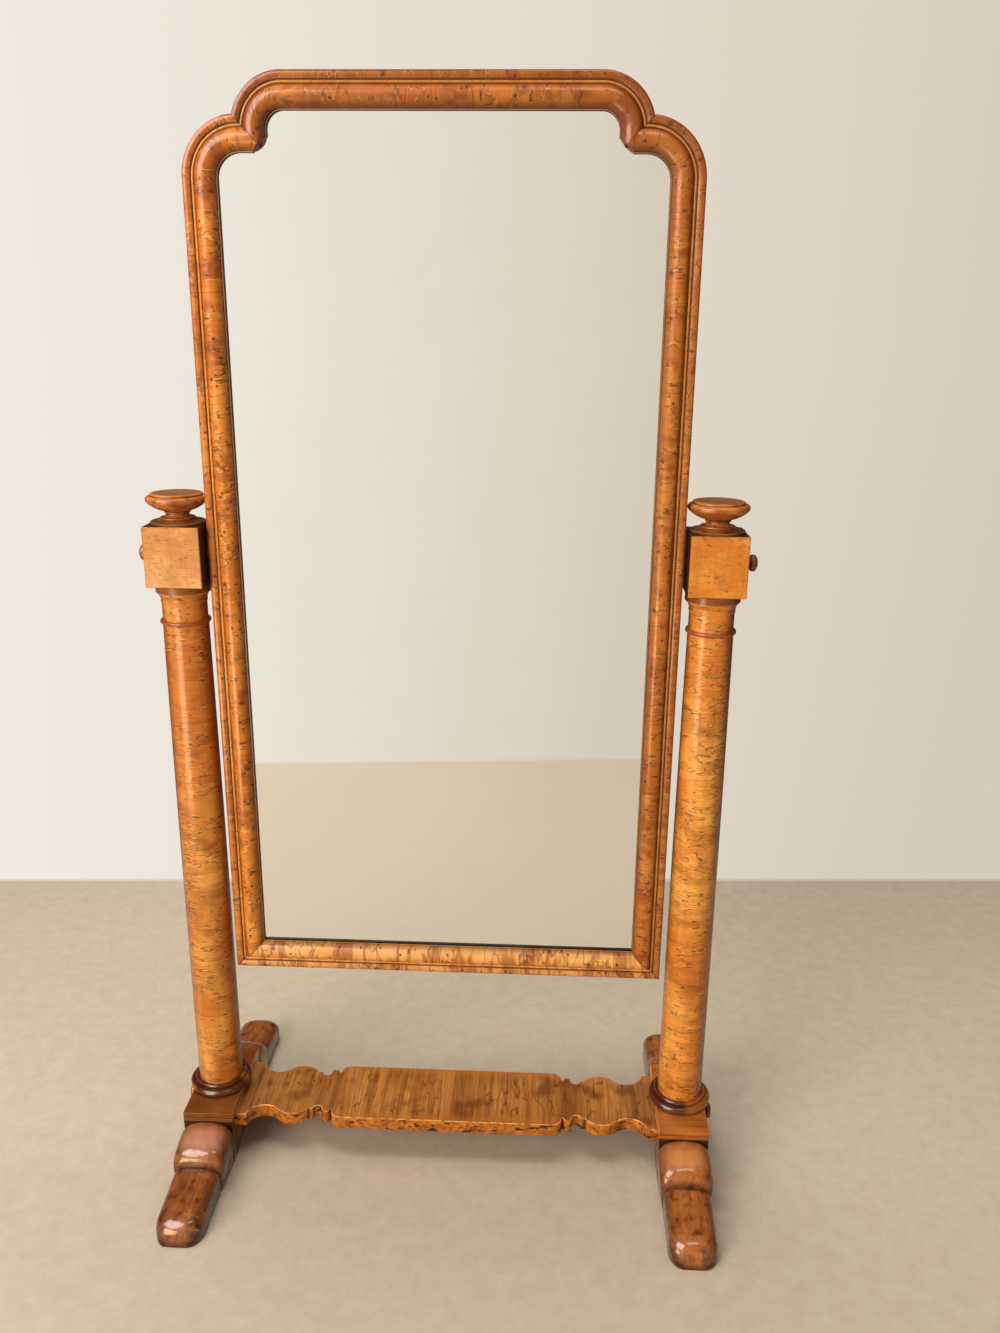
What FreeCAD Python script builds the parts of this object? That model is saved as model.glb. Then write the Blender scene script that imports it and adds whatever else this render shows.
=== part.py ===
import FreeCAD
import Part
import math
import os
import Sketcher
import types

# Cheval mirror: a tall mirror with a cusped head, swung between two turned columns on sledge feet.
# Millimetres, +Z up, front towards -Y, origin on the floor midway between the columns.

SIZES = {
    # Layout of the stand
    "column_spacing": 770.0,
    "pivot_height": 1000.0,
    "seat_height": 80.0,
    # Sledge feet
    "foot_length": 526.0,
    "foot_width": 78.0,
    "knee_width": 83.0,
    "knee_length": 66.0,
    "knee_height": 78.0,
    "knee_drop": 28.0,
    "knee_round": 11.0,
    "knee_edge": 9.0,
    "toe_width": 73.0,
    "toe_height": 45.0,
    "toe_slope": 6.0,
    "toe_round": 10.0,
    "nose_length": 30.0,
    "nose_lip": 13.0,
    "nose_narrowing": 36.0,
    "arch_margin": 16.0,
    "arch_rise": 12.0,
    # Plinths
    "plinth_width": 79.4,
    "plinth_depth": 172.0,
    "plinth_height": 14.0,
    "plinth_groove": 1.5,
    "plinth_fillet": 5.0,
    # Base rings
    "ring_height": 18.0,
    "ring_radius": 50.4,
    "ring_bulge": 4.4,
    "ring_torus_height": 12.0,
    "ring_bead_radius": 41.5,
    "ring_bead_bulge": 1.6,
    "ring_recess": 3.0,
    # Columns
    "column_base_radius": 35.5,
    "column_top_radius": 33.0,
    "column_swell": 1.0,
    "lower_tenon_radius": 17.0,
    "foot_tenon_depth": 48.0,
    "upper_tenon_radius": 20.0,
    "block_tenon_depth": 25.6,
    # Neck rings and capitals
    "neck_ring_height": 6.4,
    "neck_ring_radius": 36.6,
    "neck_ring_bulge": 2.8,
    "capital_height": 53.0,
    "capital_neck_radius": 32.5,
    "capital_neck_height": 41.0,
    "capital_flare_radius": 38.0,
    "capital_lip": 3.4,
    "capital_cove": 2.4,
    # Pivot blocks
    "block_width": 81.6,
    "block_depth": 81.2,
    "block_height": 87.6,
    "block_edge": 0.8,
    # Finials
    "finial_spigot_radius": 9.0,
    "finial_spigot_length": 24.0,
    "finial_base_radius": 39.0,
    "finial_base_height": 2.0,
    "finial_step_radius": 27.0,
    "finial_step_height": 6.4,
    "finial_step_cove": 1.2,
    "finial_neck_radius": 16.9,
    "finial_neck_height": 11.4,
    "finial_neck_cove": 1.6,
    "finial_bead_radius": 18.0,
    "finial_bead_height": 4.4,
    "finial_bead_bulge": 1.6,
    "finial_bowl_radius": 42.2,
    "finial_bowl_bulge": 4.6,
    "finial_widest_height": 33.6,
    "finial_rim_height": 40.0,
    "finial_rim_radius": 38.4,
    "finial_rim_bulge": 1.2,
    "finial_height": 43.8,
    "finial_top_radius": 34.4,
    # Stretcher platform
    "stretcher_thickness": 22.0,
    "board_half_depth": 65.0,
    "board_corner": 16.0,
    "collar_half_depth": 47.0,
    "collar_gap": 2.5,
    "collar_bead_width": 14.0,
    "collar_bead_bulge": 6.6,
    "collar_notch_width": 15.0,
    "collar_notch_depth": 8.0,
    "collar_fillet": 7.0,
    "nose_reach": 50.0,
    "nose_rise": 4.5,
    "nose_bulge": 11.4,
    "lug_length": 19.0,
    "lug_half_depth": 67.0,
    "lug_shoulder": 5.0,
    "hollow_length": 48.5,
    "hollow_depth": 14.0,
    "stretcher_tenon_length": 24.0,
    "stretcher_tenon_width": 30.0,
    "stretcher_tenon_thickness": 14.0,
    "stretcher_tenon_offset": 38.0,
    # Stretcher bolts and nuts
    "bolt_radius": 4.0,
    "bolt_reach": 62.0,
    "bolt_head_radius": 12.5,
    "bolt_head_length": 15.0,
    "bolt_neck_radius": 8.0,
    "bolt_neck_length": 5.0,
    "bolt_head_bulge": 2.2,
    "bolt_crown_radius": 7.0,
    "bolt_flange_radius": 10.5,
    "bolt_flange_height": 1.8,
    "nut_side": 16.0,
    "nut_thickness": 7.0,
    "nut_inset": 46.0,
    # Mirror frame
    "side_gap": 5.4,
    "frame_height": 1296.0,
    "pivot_above_frame_bottom": 671.5,
    "shoulder_drop": 50.0,
    "shoulder_inset": 67.3,
    "stile_arc_dip": 9.2,
    "top_arc_dip": 18.0,
    "cusp_chamfer": 19.0,
    "rim_front": 18.0,
    "frame_back": 18.0,
    "band_width": 12.6,
    "band_crown": 1.6,
    "groove_width": 2.0,
    "groove_depth": 2.0,
    "bead_width": 4.0,
    "bead_bulge": 1.7,
    "cushion_width": 24.4,
    "cushion_height": 11.4,
    "sight_margin": 2.0,
    "lip_thickness": 4.5,
    "sight_setback": 10.0,
    "rebate_width": 8.0,
    "board_ledge": 10.0,
    # Mirror plate, its blocks and the backboards
    "glass_thickness": 5.0,
    "backboard_thickness": 9.6,
    "board_joint_gap": 0.6,
    "glass_block_length": 40.0,
    "glass_block_width": 7.0,
    # Pivot metalwork
    "pivot_radius": 5.0,
    "pivot_tip_depth": 15.0,
    "bush_wall": 3.0,
    "bush_flange_margin": 5.0,
    "bush_flange_height": 2.0,
    "knob_radius": 12.0,
    "knob_projection": 18.0,
    "knob_crown_radius": 7.2,
    "knob_neck_wall": 4.0,
    "knob_neck_length": 5.0,
    "knob_bulge": 2.4,
    "knob_pin_radius": 4.0,
    "knob_pin_length": 10.0,
    "washer_margin": 6.0,
    "plate_length": 64.0,
    "plate_width": 22.0,
    "plate_thickness": 3.0,
    "plate_boss_wall": 4.0,
    "plate_boss_depth": 16.0,
    "plate_screw_margin": 9.0,
    # Small fasteners
    "screw_radius": 1.9,
    "screw_head_radius": 3.6,
    "screw_head_height": 1.6,
    "plate_screw_length": 16.0,
    "board_screw_length": 19.0,
    "board_screw_setback": 6.0,
    "dowel_radius": 4.0,
    "dowel_length": 34.0,
    # Clearances
    "running_clearance": 0.05,
    "face_clearance": 0.3,
    "glue_clearance": 0.15,
    "glass_clearance": 0.8,
}


# A length that carries both its sheet expression and its present value.
class Size:
    def __init__(self, text, value):
        self.text = text
        self.value = value

    def __add__(self, other):
        other = as_size(other)
        return Size(f"({self.text} + {other.text})", self.value + other.value)

    def __sub__(self, other):
        other = as_size(other)
        return Size(f"({self.text} - {other.text})", self.value - other.value)

    def __rsub__(self, other):
        return as_size(other) - self

    def __mul__(self, other):
        other = as_size(other)
        return Size(f"({self.text} * {other.text})", self.value * other.value)

    def __truediv__(self, other):
        other = as_size(other)
        return Size(f"({self.text} / {other.text})", self.value / other.value)

    def __neg__(self):
        return Size(f"(0 - {self.text})", -self.value)

    __radd__ = __add__
    __rmul__ = __mul__


def as_size(item):
    if isinstance(item, Size):
        return item
    return Size(f"{float(item):.9f}", float(item))


def square_root(size):
    return Size(f"sqrt({size.text})", math.sqrt(size.value))


doc = FreeCAD.newDocument("ChevalMirror")
sheet = doc.addObject("Spreadsheet::Sheet", "Sizes")
for row, (name, value) in enumerate(SIZES.items(), start=1):
    sheet.set(f"A{row}", name)
    sheet.set(f"B{row}", str(value))
    sheet.setAlias(f"B{row}", name)
doc.recompute()
s = types.SimpleNamespace(**{name: Size(f"Sizes.{name}", value) for name, value in SIZES.items()})

ZERO = as_size(0)
SIDES = {"left": -1, "right": 1}

# Where screws and blocks stand, as shares of the run that holds them
SIDE_SCREW_SHARES = (0.06, 0.37, 0.68, 0.98)
RAIL_SCREW_SHARES = (0.3, 0.8)
GLASS_BLOCK_SHARES = (0.2, 0.5, 0.8)

# The knee of a foot, section by section: shares of its length, of its drop and of its edge rounding
KNEE_STEPS = (
    (0.0, 0.0, 1.0), (0.14, 0.0, 0.0), (0.5, 0.16, 0.0),
    (0.8, 0.5, 0.0), (0.94, 0.8, 0.4), (1.0, 1.0, 1.0),
)

# The nose of a foot: angles round a quarter ellipse at which a section is drawn
NOSE_ANGLES = (0, 25, 45, 62, 78, 90)

parts = []

# Heights and half widths that several pieces share
half_spacing = s.column_spacing / 2
plinth_top = s.seat_height + s.plinth_height
column_seat = plinth_top + s.ring_height - s.ring_recess
block_bottom = s.pivot_height - s.block_height / 2
capital_bottom = block_bottom - s.capital_height
neck_ring_bottom = capital_bottom - s.neck_ring_height
shaft_length = neck_ring_bottom - column_seat
stretcher_bottom = s.seat_height - s.stretcher_thickness
bolt_height = s.seat_height - s.stretcher_thickness / 2
frame_half_width = half_spacing - s.block_width / 2 - s.side_gap
frame_bottom = s.pivot_height - s.pivot_above_frame_bottom
frame_top = frame_bottom + s.frame_height
shoulder_height = frame_top - s.shoulder_drop
head_half_width = frame_half_width - s.shoulder_inset
stile_corner_radius = s.shoulder_inset + s.stile_arc_dip
top_corner_radius = s.shoulder_drop + s.top_arc_dip
moulding_width = s.band_width + s.groove_width + s.bead_width + s.cushion_width + s.sight_margin
dowel_inset = moulding_width * 0.4
mitre_reach = moulding_width * 1.5
run_past_cusp = moulding_width * 1.2
glass_front = s.sight_setback - s.rim_front
ledge_back = s.frame_back - s.backboard_thickness - s.face_clearance
glass_inset = moulding_width - s.rebate_width
board_inset = glass_inset - s.board_ledge
board_width = (2 * (frame_half_width - board_inset - s.glass_clearance) - 2 * s.board_joint_gap) / 3
socket_radius = s.pivot_radius + s.running_clearance
bush_radius = socket_radius + s.bush_wall
boss_radius = socket_radius + s.plate_boss_wall
plate_screw_spacing = s.plate_length - 2 * s.plate_screw_margin
lower_tenon_length = s.foot_tenon_depth + column_seat - s.seat_height
upper_tenon_length = s.block_tenon_depth + s.capital_height + s.neck_ring_height
stretcher_half_length = half_spacing - s.foot_width / 2


# Drawing helpers
def bind(item, prop, size):
    item.setExpression(prop, size.text)


def place(item, x=ZERO, y=ZERO, z=ZERO, axis=None, angle=0):
    if axis is not None:
        item.Placement.Rotation = FreeCAD.Rotation(FreeCAD.Vector(*axis), angle)
    for key, size in (("x", x), ("y", y), ("z", z)):
        bind(item, f"Placement.Base.{key}", as_size(size))


def new_body(name):
    return doc.addObject("PartDesign::Body", name + "_body")


def finish(item, label):
    item.Label = label
    parts.append(item)
    return item


def sketch_on(body, role, name, offset=None):
    sketch = body.newObject("Sketcher::SketchObject", f"{body.Name}_{name}")
    plane = next(item for item in body.Origin.OriginFeatures if item.Role == role)
    sketch.AttachmentSupport = (plane, "")
    sketch.MapMode = "FlatFace"
    if offset is not None:
        bind(sketch, "AttachmentOffset.Base.z", offset)
    return sketch


# Holds one point of the sketch at a signed distance from the sketch origin.
def pin(sketch, geometry, position, kind, size):
    if abs(size.value) < 1e-9:
        axis = -2 if kind == "DistanceX" else -1
        sketch.addConstraint(Sketcher.Constraint("PointOnObject", geometry, position, axis))
        return
    if size.value > 0:
        ends = (-1, 1, geometry, position)
        text = size.text
    else:
        ends = (geometry, position, -1, 1)
        text = f"0 - {size.text}"
    index = sketch.addConstraint(Sketcher.Constraint(kind, *ends, abs(size.value)))
    sketch.setExpression(f"Constraints[{index}]", text)


# Draws a run of lines and arcs. A corner is (x, y), and a corner that ends an arc is (x, y, bulge):
# the arc leaves its chord by bulge, to the right of the way drawn if positive, to the left if negative.
def draw(sketch, corners, closed=True):
    corners = [tuple(as_size(item) for item in corner) for corner in corners]
    count = len(corners)
    links = []
    for index in range(count if closed else count - 1):
        start = corners[index]
        end = corners[(index + 1) % count]
        ends = [FreeCAD.Vector(item[0].value, item[1].value, 0) for item in (start, end)]
        if len(end) == 2:
            geometry = sketch.addGeometry(Part.LineSegment(*ends), False)
            links.append((geometry, 1, 2))
            continue
        bulge = end[2]
        chord = ends[1] - ends[0]
        side = FreeCAD.Vector(chord.y, -chord.x, 0).normalize()
        middle = (ends[0] + ends[1]) / 2 + side * bulge.value
        arc = Part.Arc(ends[0], middle, ends[1])
        geometry = sketch.addGeometry(arc, False)
        forward = sketch.getPoint(geometry, 1).distanceToPoint(ends[0]) < 1e-6
        links.append((geometry, 1, 2) if forward else (geometry, 2, 1))
        run = end[0] - start[0]
        rise = end[1] - start[1]
        length = square_root(run * run + rise * rise)
        shift = length / (8 * bulge) - bulge / (2 * length)
        if abs(rise.value) > abs(run.value):
            pin(sketch, geometry, 3, "DistanceX", (start[0] + end[0]) / 2 - rise * shift)
        else:
            pin(sketch, geometry, 3, "DistanceY", (start[1] + end[1]) / 2 + run * shift)
    for index in range(len(links) if closed else len(links) - 1):
        geometry, _, last = links[index]
        following, first, _ = links[(index + 1) % len(links)]
        sketch.addConstraint(Sketcher.Constraint("Coincident", geometry, last, following, first))
    for (geometry, first, _), corner in zip(links, corners):
        pin(sketch, geometry, first, "DistanceX", corner[0])
        pin(sketch, geometry, first, "DistanceY", corner[1])
    if not closed:
        geometry, _, last = links[-1]
        pin(sketch, geometry, last, "DistanceX", corners[-1][0])
        pin(sketch, geometry, last, "DistanceY", corners[-1][1])


def circle(sketch, x, y, radius):
    x, y, radius = as_size(x), as_size(y), as_size(radius)
    centre = FreeCAD.Vector(x.value, y.value, 0)
    geometry = sketch.addGeometry(Part.Circle(centre, FreeCAD.Vector(0, 0, 1), radius.value), False)
    pin(sketch, geometry, 3, "DistanceX", x)
    pin(sketch, geometry, 3, "DistanceY", y)
    fixed = sketch.addConstraint(Sketcher.Constraint("Radius", geometry, radius.value))
    bind(sketch, f"Constraints[{fixed}]", radius)


def rectangle(sketch, x_low, x_high, y_low, y_high):
    draw(sketch, [(x_low, y_low), (x_high, y_low), (x_high, y_high), (x_low, y_high)])


def pad(body, sketch, length, symmetric=False):
    feature = body.newObject("PartDesign::Pad", sketch.Name + "_pad")
    feature.Profile = sketch
    feature.SideType = "Symmetric" if symmetric else "One side"
    bind(feature, "Length", length)
    return feature


def pocket(body, sketch, length=None, reverse=False):
    feature = body.newObject("PartDesign::Pocket", sketch.Name + "_pocket")
    feature.Profile = sketch
    if length is None:
        feature.SideType = "Symmetric"
        feature.Type = "ThroughAll"
    else:
        feature.Reversed = reverse
        bind(feature, "Length", length)
    return feature


# A turned piece: half section of (radius, height) corners spun about the local Z axis.
def turned(name, corners):
    body = new_body(name)
    sketch = sketch_on(body, "XZ_Plane", "section")
    draw(sketch, corners)
    spin = body.newObject("PartDesign::Revolution", name + "_turning")
    spin.Profile = sketch
    spin.ReferenceAxis = (sketch, ["V_Axis"])
    spin.Angle = 360
    return body


def drill(body, role, name, x, y, radius, offset=None, depth=None, reverse=False):
    sketch = sketch_on(body, role, name, offset)
    circle(sketch, x, y, radius)
    return pocket(body, sketch, depth, reverse)


# Places a piece of metalwork whose local Z axis points from the outside of the stand inwards along X.
def place_across(body, side, distance, height):
    place(body, x=distance * SIDES[side], z=height, axis=(0, 1, 0), angle=-90 * SIDES[side])


# Sledge foot: a seat for the plinth over a low arch, a pillow-shaped knee and a rounded toe at each end
def foot_section(body, name, offset, width, height, corner):
    half = width / 2
    shoulder = height - corner
    bulge = corner * (1 - math.sqrt(0.5))
    sketch = sketch_on(body, "XZ_Plane", name, offset)
    draw(sketch, [
        (-half, 0), (half, 0), (half, shoulder), (half - corner, height, bulge),
        (corner - half, height), (-half, shoulder, bulge),
    ])
    return sketch


def loft(body, name, sections):
    feature = body.newObject("PartDesign::AdditiveLoft", f"{body.Name}_{name}")
    feature.Profile = sections[0]
    feature.Sections = sections[1:]
    feature.Ruled = True
    return feature


def make_foot(side):
    body = new_body(side + "_foot")
    half_seat = s.plinth_depth / 2
    half_arch = half_seat - s.arch_margin
    sketch = sketch_on(body, "YZ_Plane", "seat")
    draw(sketch, [
        (-half_seat, 0), (-half_arch, 0), (half_arch, 0, -s.arch_rise), (half_seat, 0),
        (half_seat, s.seat_height), (-half_seat, s.seat_height),
    ])
    pad(body, sketch, s.foot_width, symmetric=True)
    sections = []
    for index, (along, fall, edge) in enumerate(KNEE_STEPS):
        width = s.knee_width - s.knee_edge * edge
        height = s.knee_height - s.knee_drop * fall - s.knee_edge * edge * (1 - along)
        offset = half_seat + s.knee_length * along
        sections.append(foot_section(body, f"knee{index}", offset, width, height, s.knee_round))
    knee = loft(body, "knee", sections)
    # Toe: a gently falling top, then a quarter-ellipse nose
    toe_start = half_seat + s.knee_length
    nose_start = s.foot_length / 2 - s.nose_length
    tip_height = s.toe_height - s.toe_slope
    sections = [foot_section(body, "toe", toe_start, s.toe_width, s.toe_height, s.toe_round)]
    for angle in NOSE_ANGLES:
        turn = math.radians(angle)
        width = s.toe_width - s.nose_narrowing * (1 - math.cos(turn))
        height = s.nose_lip + (tip_height - s.nose_lip) * math.cos(turn)
        offset = nose_start + s.nose_length * math.sin(turn)
        corner = s.toe_round * (1 + math.cos(turn)) / 2
        sections.append(foot_section(body, f"nose{angle}", offset, width, height, corner))
    toe = loft(body, "toe_loft", sections)
    ends = body.newObject("PartDesign::Mirrored", body.Name + "_ends")
    ends.Originals = [knee, toe]
    plane = next(item for item in body.Origin.OriginFeatures if item.Role == "XZ_Plane")
    ends.MirrorPlane = (plane, [""])
    body.Tip = ends
    # Bore for the column's tenon, mortises for the stretcher and the stretcher bolt's bore
    tenon_bore = s.lower_tenon_radius + s.glue_clearance
    tenon_depth = s.foot_tenon_depth + s.face_clearance
    drill(body, "XY_Plane", "tenon_bore", 0, 0, tenon_bore, s.seat_height, tenon_depth)
    mortise = sketch_on(body, "YZ_Plane", "mortises", s.foot_width / 2)
    for way in (-1, 1):
        centre = s.stretcher_tenon_offset * way
        half_width = s.stretcher_tenon_width / 2 + s.glue_clearance
        half_height = s.stretcher_tenon_thickness / 2 + s.glue_clearance
        low = bolt_height - half_height
        rectangle(mortise, centre - half_width, centre + half_width, low, low + 2 * half_height)
    pocket(body, mortise, s.stretcher_tenon_length + s.face_clearance)
    drill(body, "YZ_Plane", "bolt_bore", 0, bolt_height, s.bolt_radius + s.glue_clearance)
    place(body, x=half_spacing * SIDES[side], axis=(0, 0, 1), angle=0 if side == "left" else 180)
    return finish(body, side + "_foot")


# Plinth: a flat block with a grooved fillet along its front and back edges
def make_plinth(side):
    body = new_body(side + "_plinth")
    half = s.plinth_depth / 2
    sketch = sketch_on(body, "YZ_Plane", "profile")
    low = s.plinth_height - s.plinth_fillet - s.plinth_groove
    high = s.plinth_height - s.plinth_fillet
    inner = half - s.plinth_groove
    draw(sketch, [
        (-half, 0), (half, 0), (half, low), (inner, low), (inner, high), (half, high),
        (half, s.plinth_height), (-half, s.plinth_height),
        (-half, high), (-inner, high), (-inner, low), (-half, low),
    ])
    pad(body, sketch, s.plinth_width, symmetric=True)
    drill(body, "XY_Plane", "tenon_bore", 0, 0, s.lower_tenon_radius + s.glue_clearance)
    place(body, x=half_spacing * SIDES[side], z=s.seat_height)
    return finish(body, side + "_plinth")


# Base ring: a torus with a small bead above it and a recess that takes the column's foot
def make_base_ring(side):
    bore = s.lower_tenon_radius + s.glue_clearance
    torus_chord = s.ring_radius - s.ring_bulge
    recess = s.column_base_radius + s.glue_clearance
    floor = s.ring_height - s.ring_recess
    bead_chord = s.ring_bead_radius - s.ring_bead_bulge
    body = turned(side + "_base_ring", [
        (bore, 0), (torus_chord, 0), (torus_chord, s.ring_torus_height, s.ring_bulge),
        (bead_chord, s.ring_torus_height), (bead_chord, s.ring_height, s.ring_bead_bulge),
        (recess, s.ring_height), (recess, floor), (bore, floor),
    ])
    place(body, x=half_spacing * SIDES[side], z=plinth_top)
    return finish(body, side + "_base_ring")


# Column: a tapered shaft with a slight swell, a tenon at the foot and another through the capital
def make_column(side):
    top = shaft_length + upper_tenon_length
    body = turned(side + "_column", [
        (0, -lower_tenon_length), (s.lower_tenon_radius, -lower_tenon_length), (s.lower_tenon_radius, 0),
        (s.column_base_radius, 0), (s.column_top_radius, shaft_length, s.column_swell),
        (s.upper_tenon_radius, shaft_length), (s.upper_tenon_radius, top), (0, top),
    ])
    drill(body, "YZ_Plane", "bolt_bore", 0, bolt_height - column_seat, s.bolt_radius + s.glue_clearance)
    place(body, x=half_spacing * SIDES[side], z=column_seat)
    return finish(body, side + "_column")


def make_neck_ring(side):
    bore = s.upper_tenon_radius + s.glue_clearance
    chord = s.neck_ring_radius - s.neck_ring_bulge
    body = turned(side + "_neck_ring", [
        (bore, 0), (chord, 0), (chord, s.neck_ring_height, s.neck_ring_bulge), (bore, s.neck_ring_height),
    ])
    place(body, x=half_spacing * SIDES[side], z=neck_ring_bottom)
    return finish(body, side + "_neck_ring")


# Capital: a plain neck that flares through a cove to a lip under the block
def make_capital(side):
    bore = s.upper_tenon_radius + s.glue_clearance
    lip_bottom = s.capital_height - s.capital_lip
    body = turned(side + "_capital", [
        (bore, 0), (s.capital_neck_radius, 0), (s.capital_neck_radius, s.capital_neck_height),
        (s.capital_flare_radius, lip_bottom, -s.capital_cove), (s.capital_flare_radius, s.capital_height),
        (bore, s.capital_height),
    ])
    place(body, x=half_spacing * SIDES[side], z=capital_bottom)
    return finish(body, side + "_capital")


# Pivot block: bored below for the column's tenon, above for the finial and across for the pivot bush
def make_pivot_block(side):
    body = new_body(side + "_pivot_block")
    half = s.block_height / 2
    sketch = sketch_on(body, "XY_Plane", "plan", -half)
    rectangle(sketch, -s.block_width / 2, s.block_width / 2, -s.block_depth / 2, s.block_depth / 2)
    cube = pad(body, sketch, s.block_height)
    doc.recompute()
    edges = body.newObject("PartDesign::Chamfer", body.Name + "_edges")
    edges.Base = (cube, [f"Edge{number}" for number in range(1, len(cube.Shape.Edges) + 1)])
    bind(edges, "Size", s.block_edge)
    tenon_depth = s.block_tenon_depth + s.face_clearance
    tenon_bore = s.upper_tenon_radius + s.glue_clearance
    drill(body, "XY_Plane", "tenon_bore", 0, 0, tenon_bore, -half, tenon_depth, reverse=True)
    spigot_bore = s.finial_spigot_radius + s.glue_clearance
    spigot_depth = s.finial_spigot_length + s.face_clearance
    drill(body, "XY_Plane", "spigot_bore", 0, 0, spigot_bore, half, spigot_depth)
    drill(body, "YZ_Plane", "bush_bore", 0, 0, bush_radius + s.glue_clearance)
    place(body, x=half_spacing * SIDES[side], z=s.pivot_height)
    return finish(body, side + "_pivot_block")


# Finial: base disc, cove, beaded neck and a shallow bowl with a stepped rim, on a spigot
def make_finial(side):
    bead_top = s.finial_neck_height + s.finial_bead_height
    body = turned(side + "_finial", [
        (0, -s.finial_spigot_length), (s.finial_spigot_radius, -s.finial_spigot_length),
        (s.finial_spigot_radius, 0), (s.finial_base_radius, 0),
        (s.finial_base_radius, s.finial_base_height),
        (s.finial_step_radius, s.finial_step_height, -s.finial_step_cove),
        (s.finial_neck_radius, s.finial_neck_height, -s.finial_neck_cove),
        (s.finial_bead_radius, s.finial_neck_height), (s.finial_bead_radius, bead_top, s.finial_bead_bulge),
        (s.finial_bowl_radius, s.finial_widest_height, s.finial_bowl_bulge),
        (s.finial_rim_radius, s.finial_rim_height, s.finial_rim_bulge),
        (s.finial_top_radius, s.finial_height), (0, s.finial_height),
    ])
    place(body, x=half_spacing * SIDES[side], z=s.pivot_height + s.block_height / 2)
    return finish(body, side + "_finial")


# Stretcher platform: one shaped board, its outline worked out for a quarter and drawn round all four
def stretcher_quarter():
    lug_start = stretcher_half_length - s.lug_length
    nose_end = lug_start - s.hollow_length
    nose_start = nose_end - s.nose_reach
    notch_end = nose_start - s.collar_fillet
    notch_start = notch_end - s.collar_notch_width
    bead_start = notch_start - s.collar_bead_width
    board_end = bead_start - s.collar_gap
    nose_depth = s.collar_half_depth + s.nose_rise
    shoulder_depth = s.lug_half_depth - s.lug_shoulder
    corner_bulge = s.board_corner * (1 - math.sqrt(0.5))
    return [
        (board_end - s.board_corner, s.board_half_depth),
        (board_end, s.board_half_depth - s.board_corner, corner_bulge),
        (bead_start, s.collar_half_depth),
        (notch_start, s.collar_half_depth, s.collar_bead_bulge),
        (notch_end, s.collar_half_depth, -s.collar_notch_depth),
        (nose_start, s.collar_half_depth),
        (nose_end, nose_depth, s.nose_bulge),
        (lug_start, shoulder_depth, -s.hollow_depth),
        (lug_start, s.lug_half_depth),
        (stretcher_half_length, s.lug_half_depth),
    ]


def mirrored_run(quarter, across, along):
    flipped = across * along > 0
    run = list(reversed(quarter)) if flipped else list(quarter)
    corners = []
    for index, corner in enumerate(run):
        point = [as_size(corner[0]) * across, as_size(corner[1]) * along]
        source = run[index - 1] if flipped and index > 0 else corner
        if len(source) == 3 and (not flipped or index > 0):
            point.append(as_size(source[2]))
        corners.append(tuple(point))
    return corners


def make_stretcher():
    body = new_body("stretcher_platform")
    quarter = [tuple(as_size(item) for item in corner) for corner in stretcher_quarter()]
    outline = []
    for across, along in ((1, -1), (1, 1), (-1, 1), (-1, -1)):
        outline += mirrored_run(quarter, across, along)
    sketch = sketch_on(body, "XY_Plane", "outline")
    draw(sketch, outline)
    pad(body, sketch, s.stretcher_thickness)
    tenons = sketch_on(body, "YZ_Plane", "tenons")
    middle = s.stretcher_thickness / 2
    for way in (-1, 1):
        centre = s.stretcher_tenon_offset * way
        half_width = s.stretcher_tenon_width / 2
        low = middle - s.stretcher_tenon_thickness / 2
        high = middle + s.stretcher_tenon_thickness / 2
        rectangle(tenons, centre - half_width, centre + half_width, low, high)
    pad(body, tenons, 2 * (stretcher_half_length + s.stretcher_tenon_length), symmetric=True)
    for side, way in SIDES.items():
        depth = s.bolt_reach + s.face_clearance
        bore = s.bolt_radius + s.glue_clearance
        end = stretcher_half_length * way
        drill(body, "YZ_Plane", side + "_bolt_bore", 0, middle, bore, end, depth, reverse=way < 0)
    slots = sketch_on(body, "XY_Plane", "nut_slots")
    for way in (-1, 1):
        centre = (stretcher_half_length - s.nut_inset) * way
        half_width = s.nut_thickness / 2 + s.glue_clearance
        half_depth = s.nut_side / 2 + s.glue_clearance
        rectangle(slots, centre - half_width, centre + half_width, -half_depth, half_depth)
    pocket(body, slots, middle + s.nut_side / 2 + s.glue_clearance, reverse=True)
    place(body, z=stretcher_bottom)
    return finish(body, "stretcher_platform")


# Stretcher bolt: a turned button head on a flange, its shank drawn through foot, tenon and stretcher end
def make_stretcher_bolt(side):
    reach = s.foot_width + s.bolt_reach
    neck_start = s.bolt_flange_height
    neck_end = neck_start + s.bolt_neck_length
    body = turned(side + "_stretcher_bolt", [
        (0, -s.bolt_head_length), (s.bolt_crown_radius, -s.bolt_head_length),
        (s.bolt_head_radius, -neck_end - s.bolt_head_bulge, s.bolt_head_bulge),
        (s.bolt_head_radius, -neck_end), (s.bolt_neck_radius, -neck_end), (s.bolt_neck_radius, -neck_start),
        (s.bolt_flange_radius, -neck_start), (s.bolt_flange_radius, 0), (s.bolt_radius, 0),
        (s.bolt_radius, reach), (0, reach),
    ])
    place_across(body, side, half_spacing + s.foot_width / 2, bolt_height)
    return finish(body, side + "_stretcher_bolt")


# A set of like solids that share one node
def make_group(label, solids):
    group = doc.addObject("Part::Compound", label + "_group")
    group.Links = solids
    return finish(group, label)


def make_stretcher_nuts():
    solids = []
    for side in SIDES:
        body = new_body(side + "_nut")
        sketch = sketch_on(body, "YZ_Plane", "face")
        half = s.nut_side / 2
        rectangle(sketch, -half, half, -half, half)
        circle(sketch, 0, 0, s.bolt_radius + s.glue_clearance)
        pad(body, sketch, s.nut_thickness, symmetric=True)
        place(body, x=(stretcher_half_length - s.nut_inset) * SIDES[side], z=bolt_height)
        solids.append(body)
    return make_group("stretcher_nuts", solids)


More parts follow.
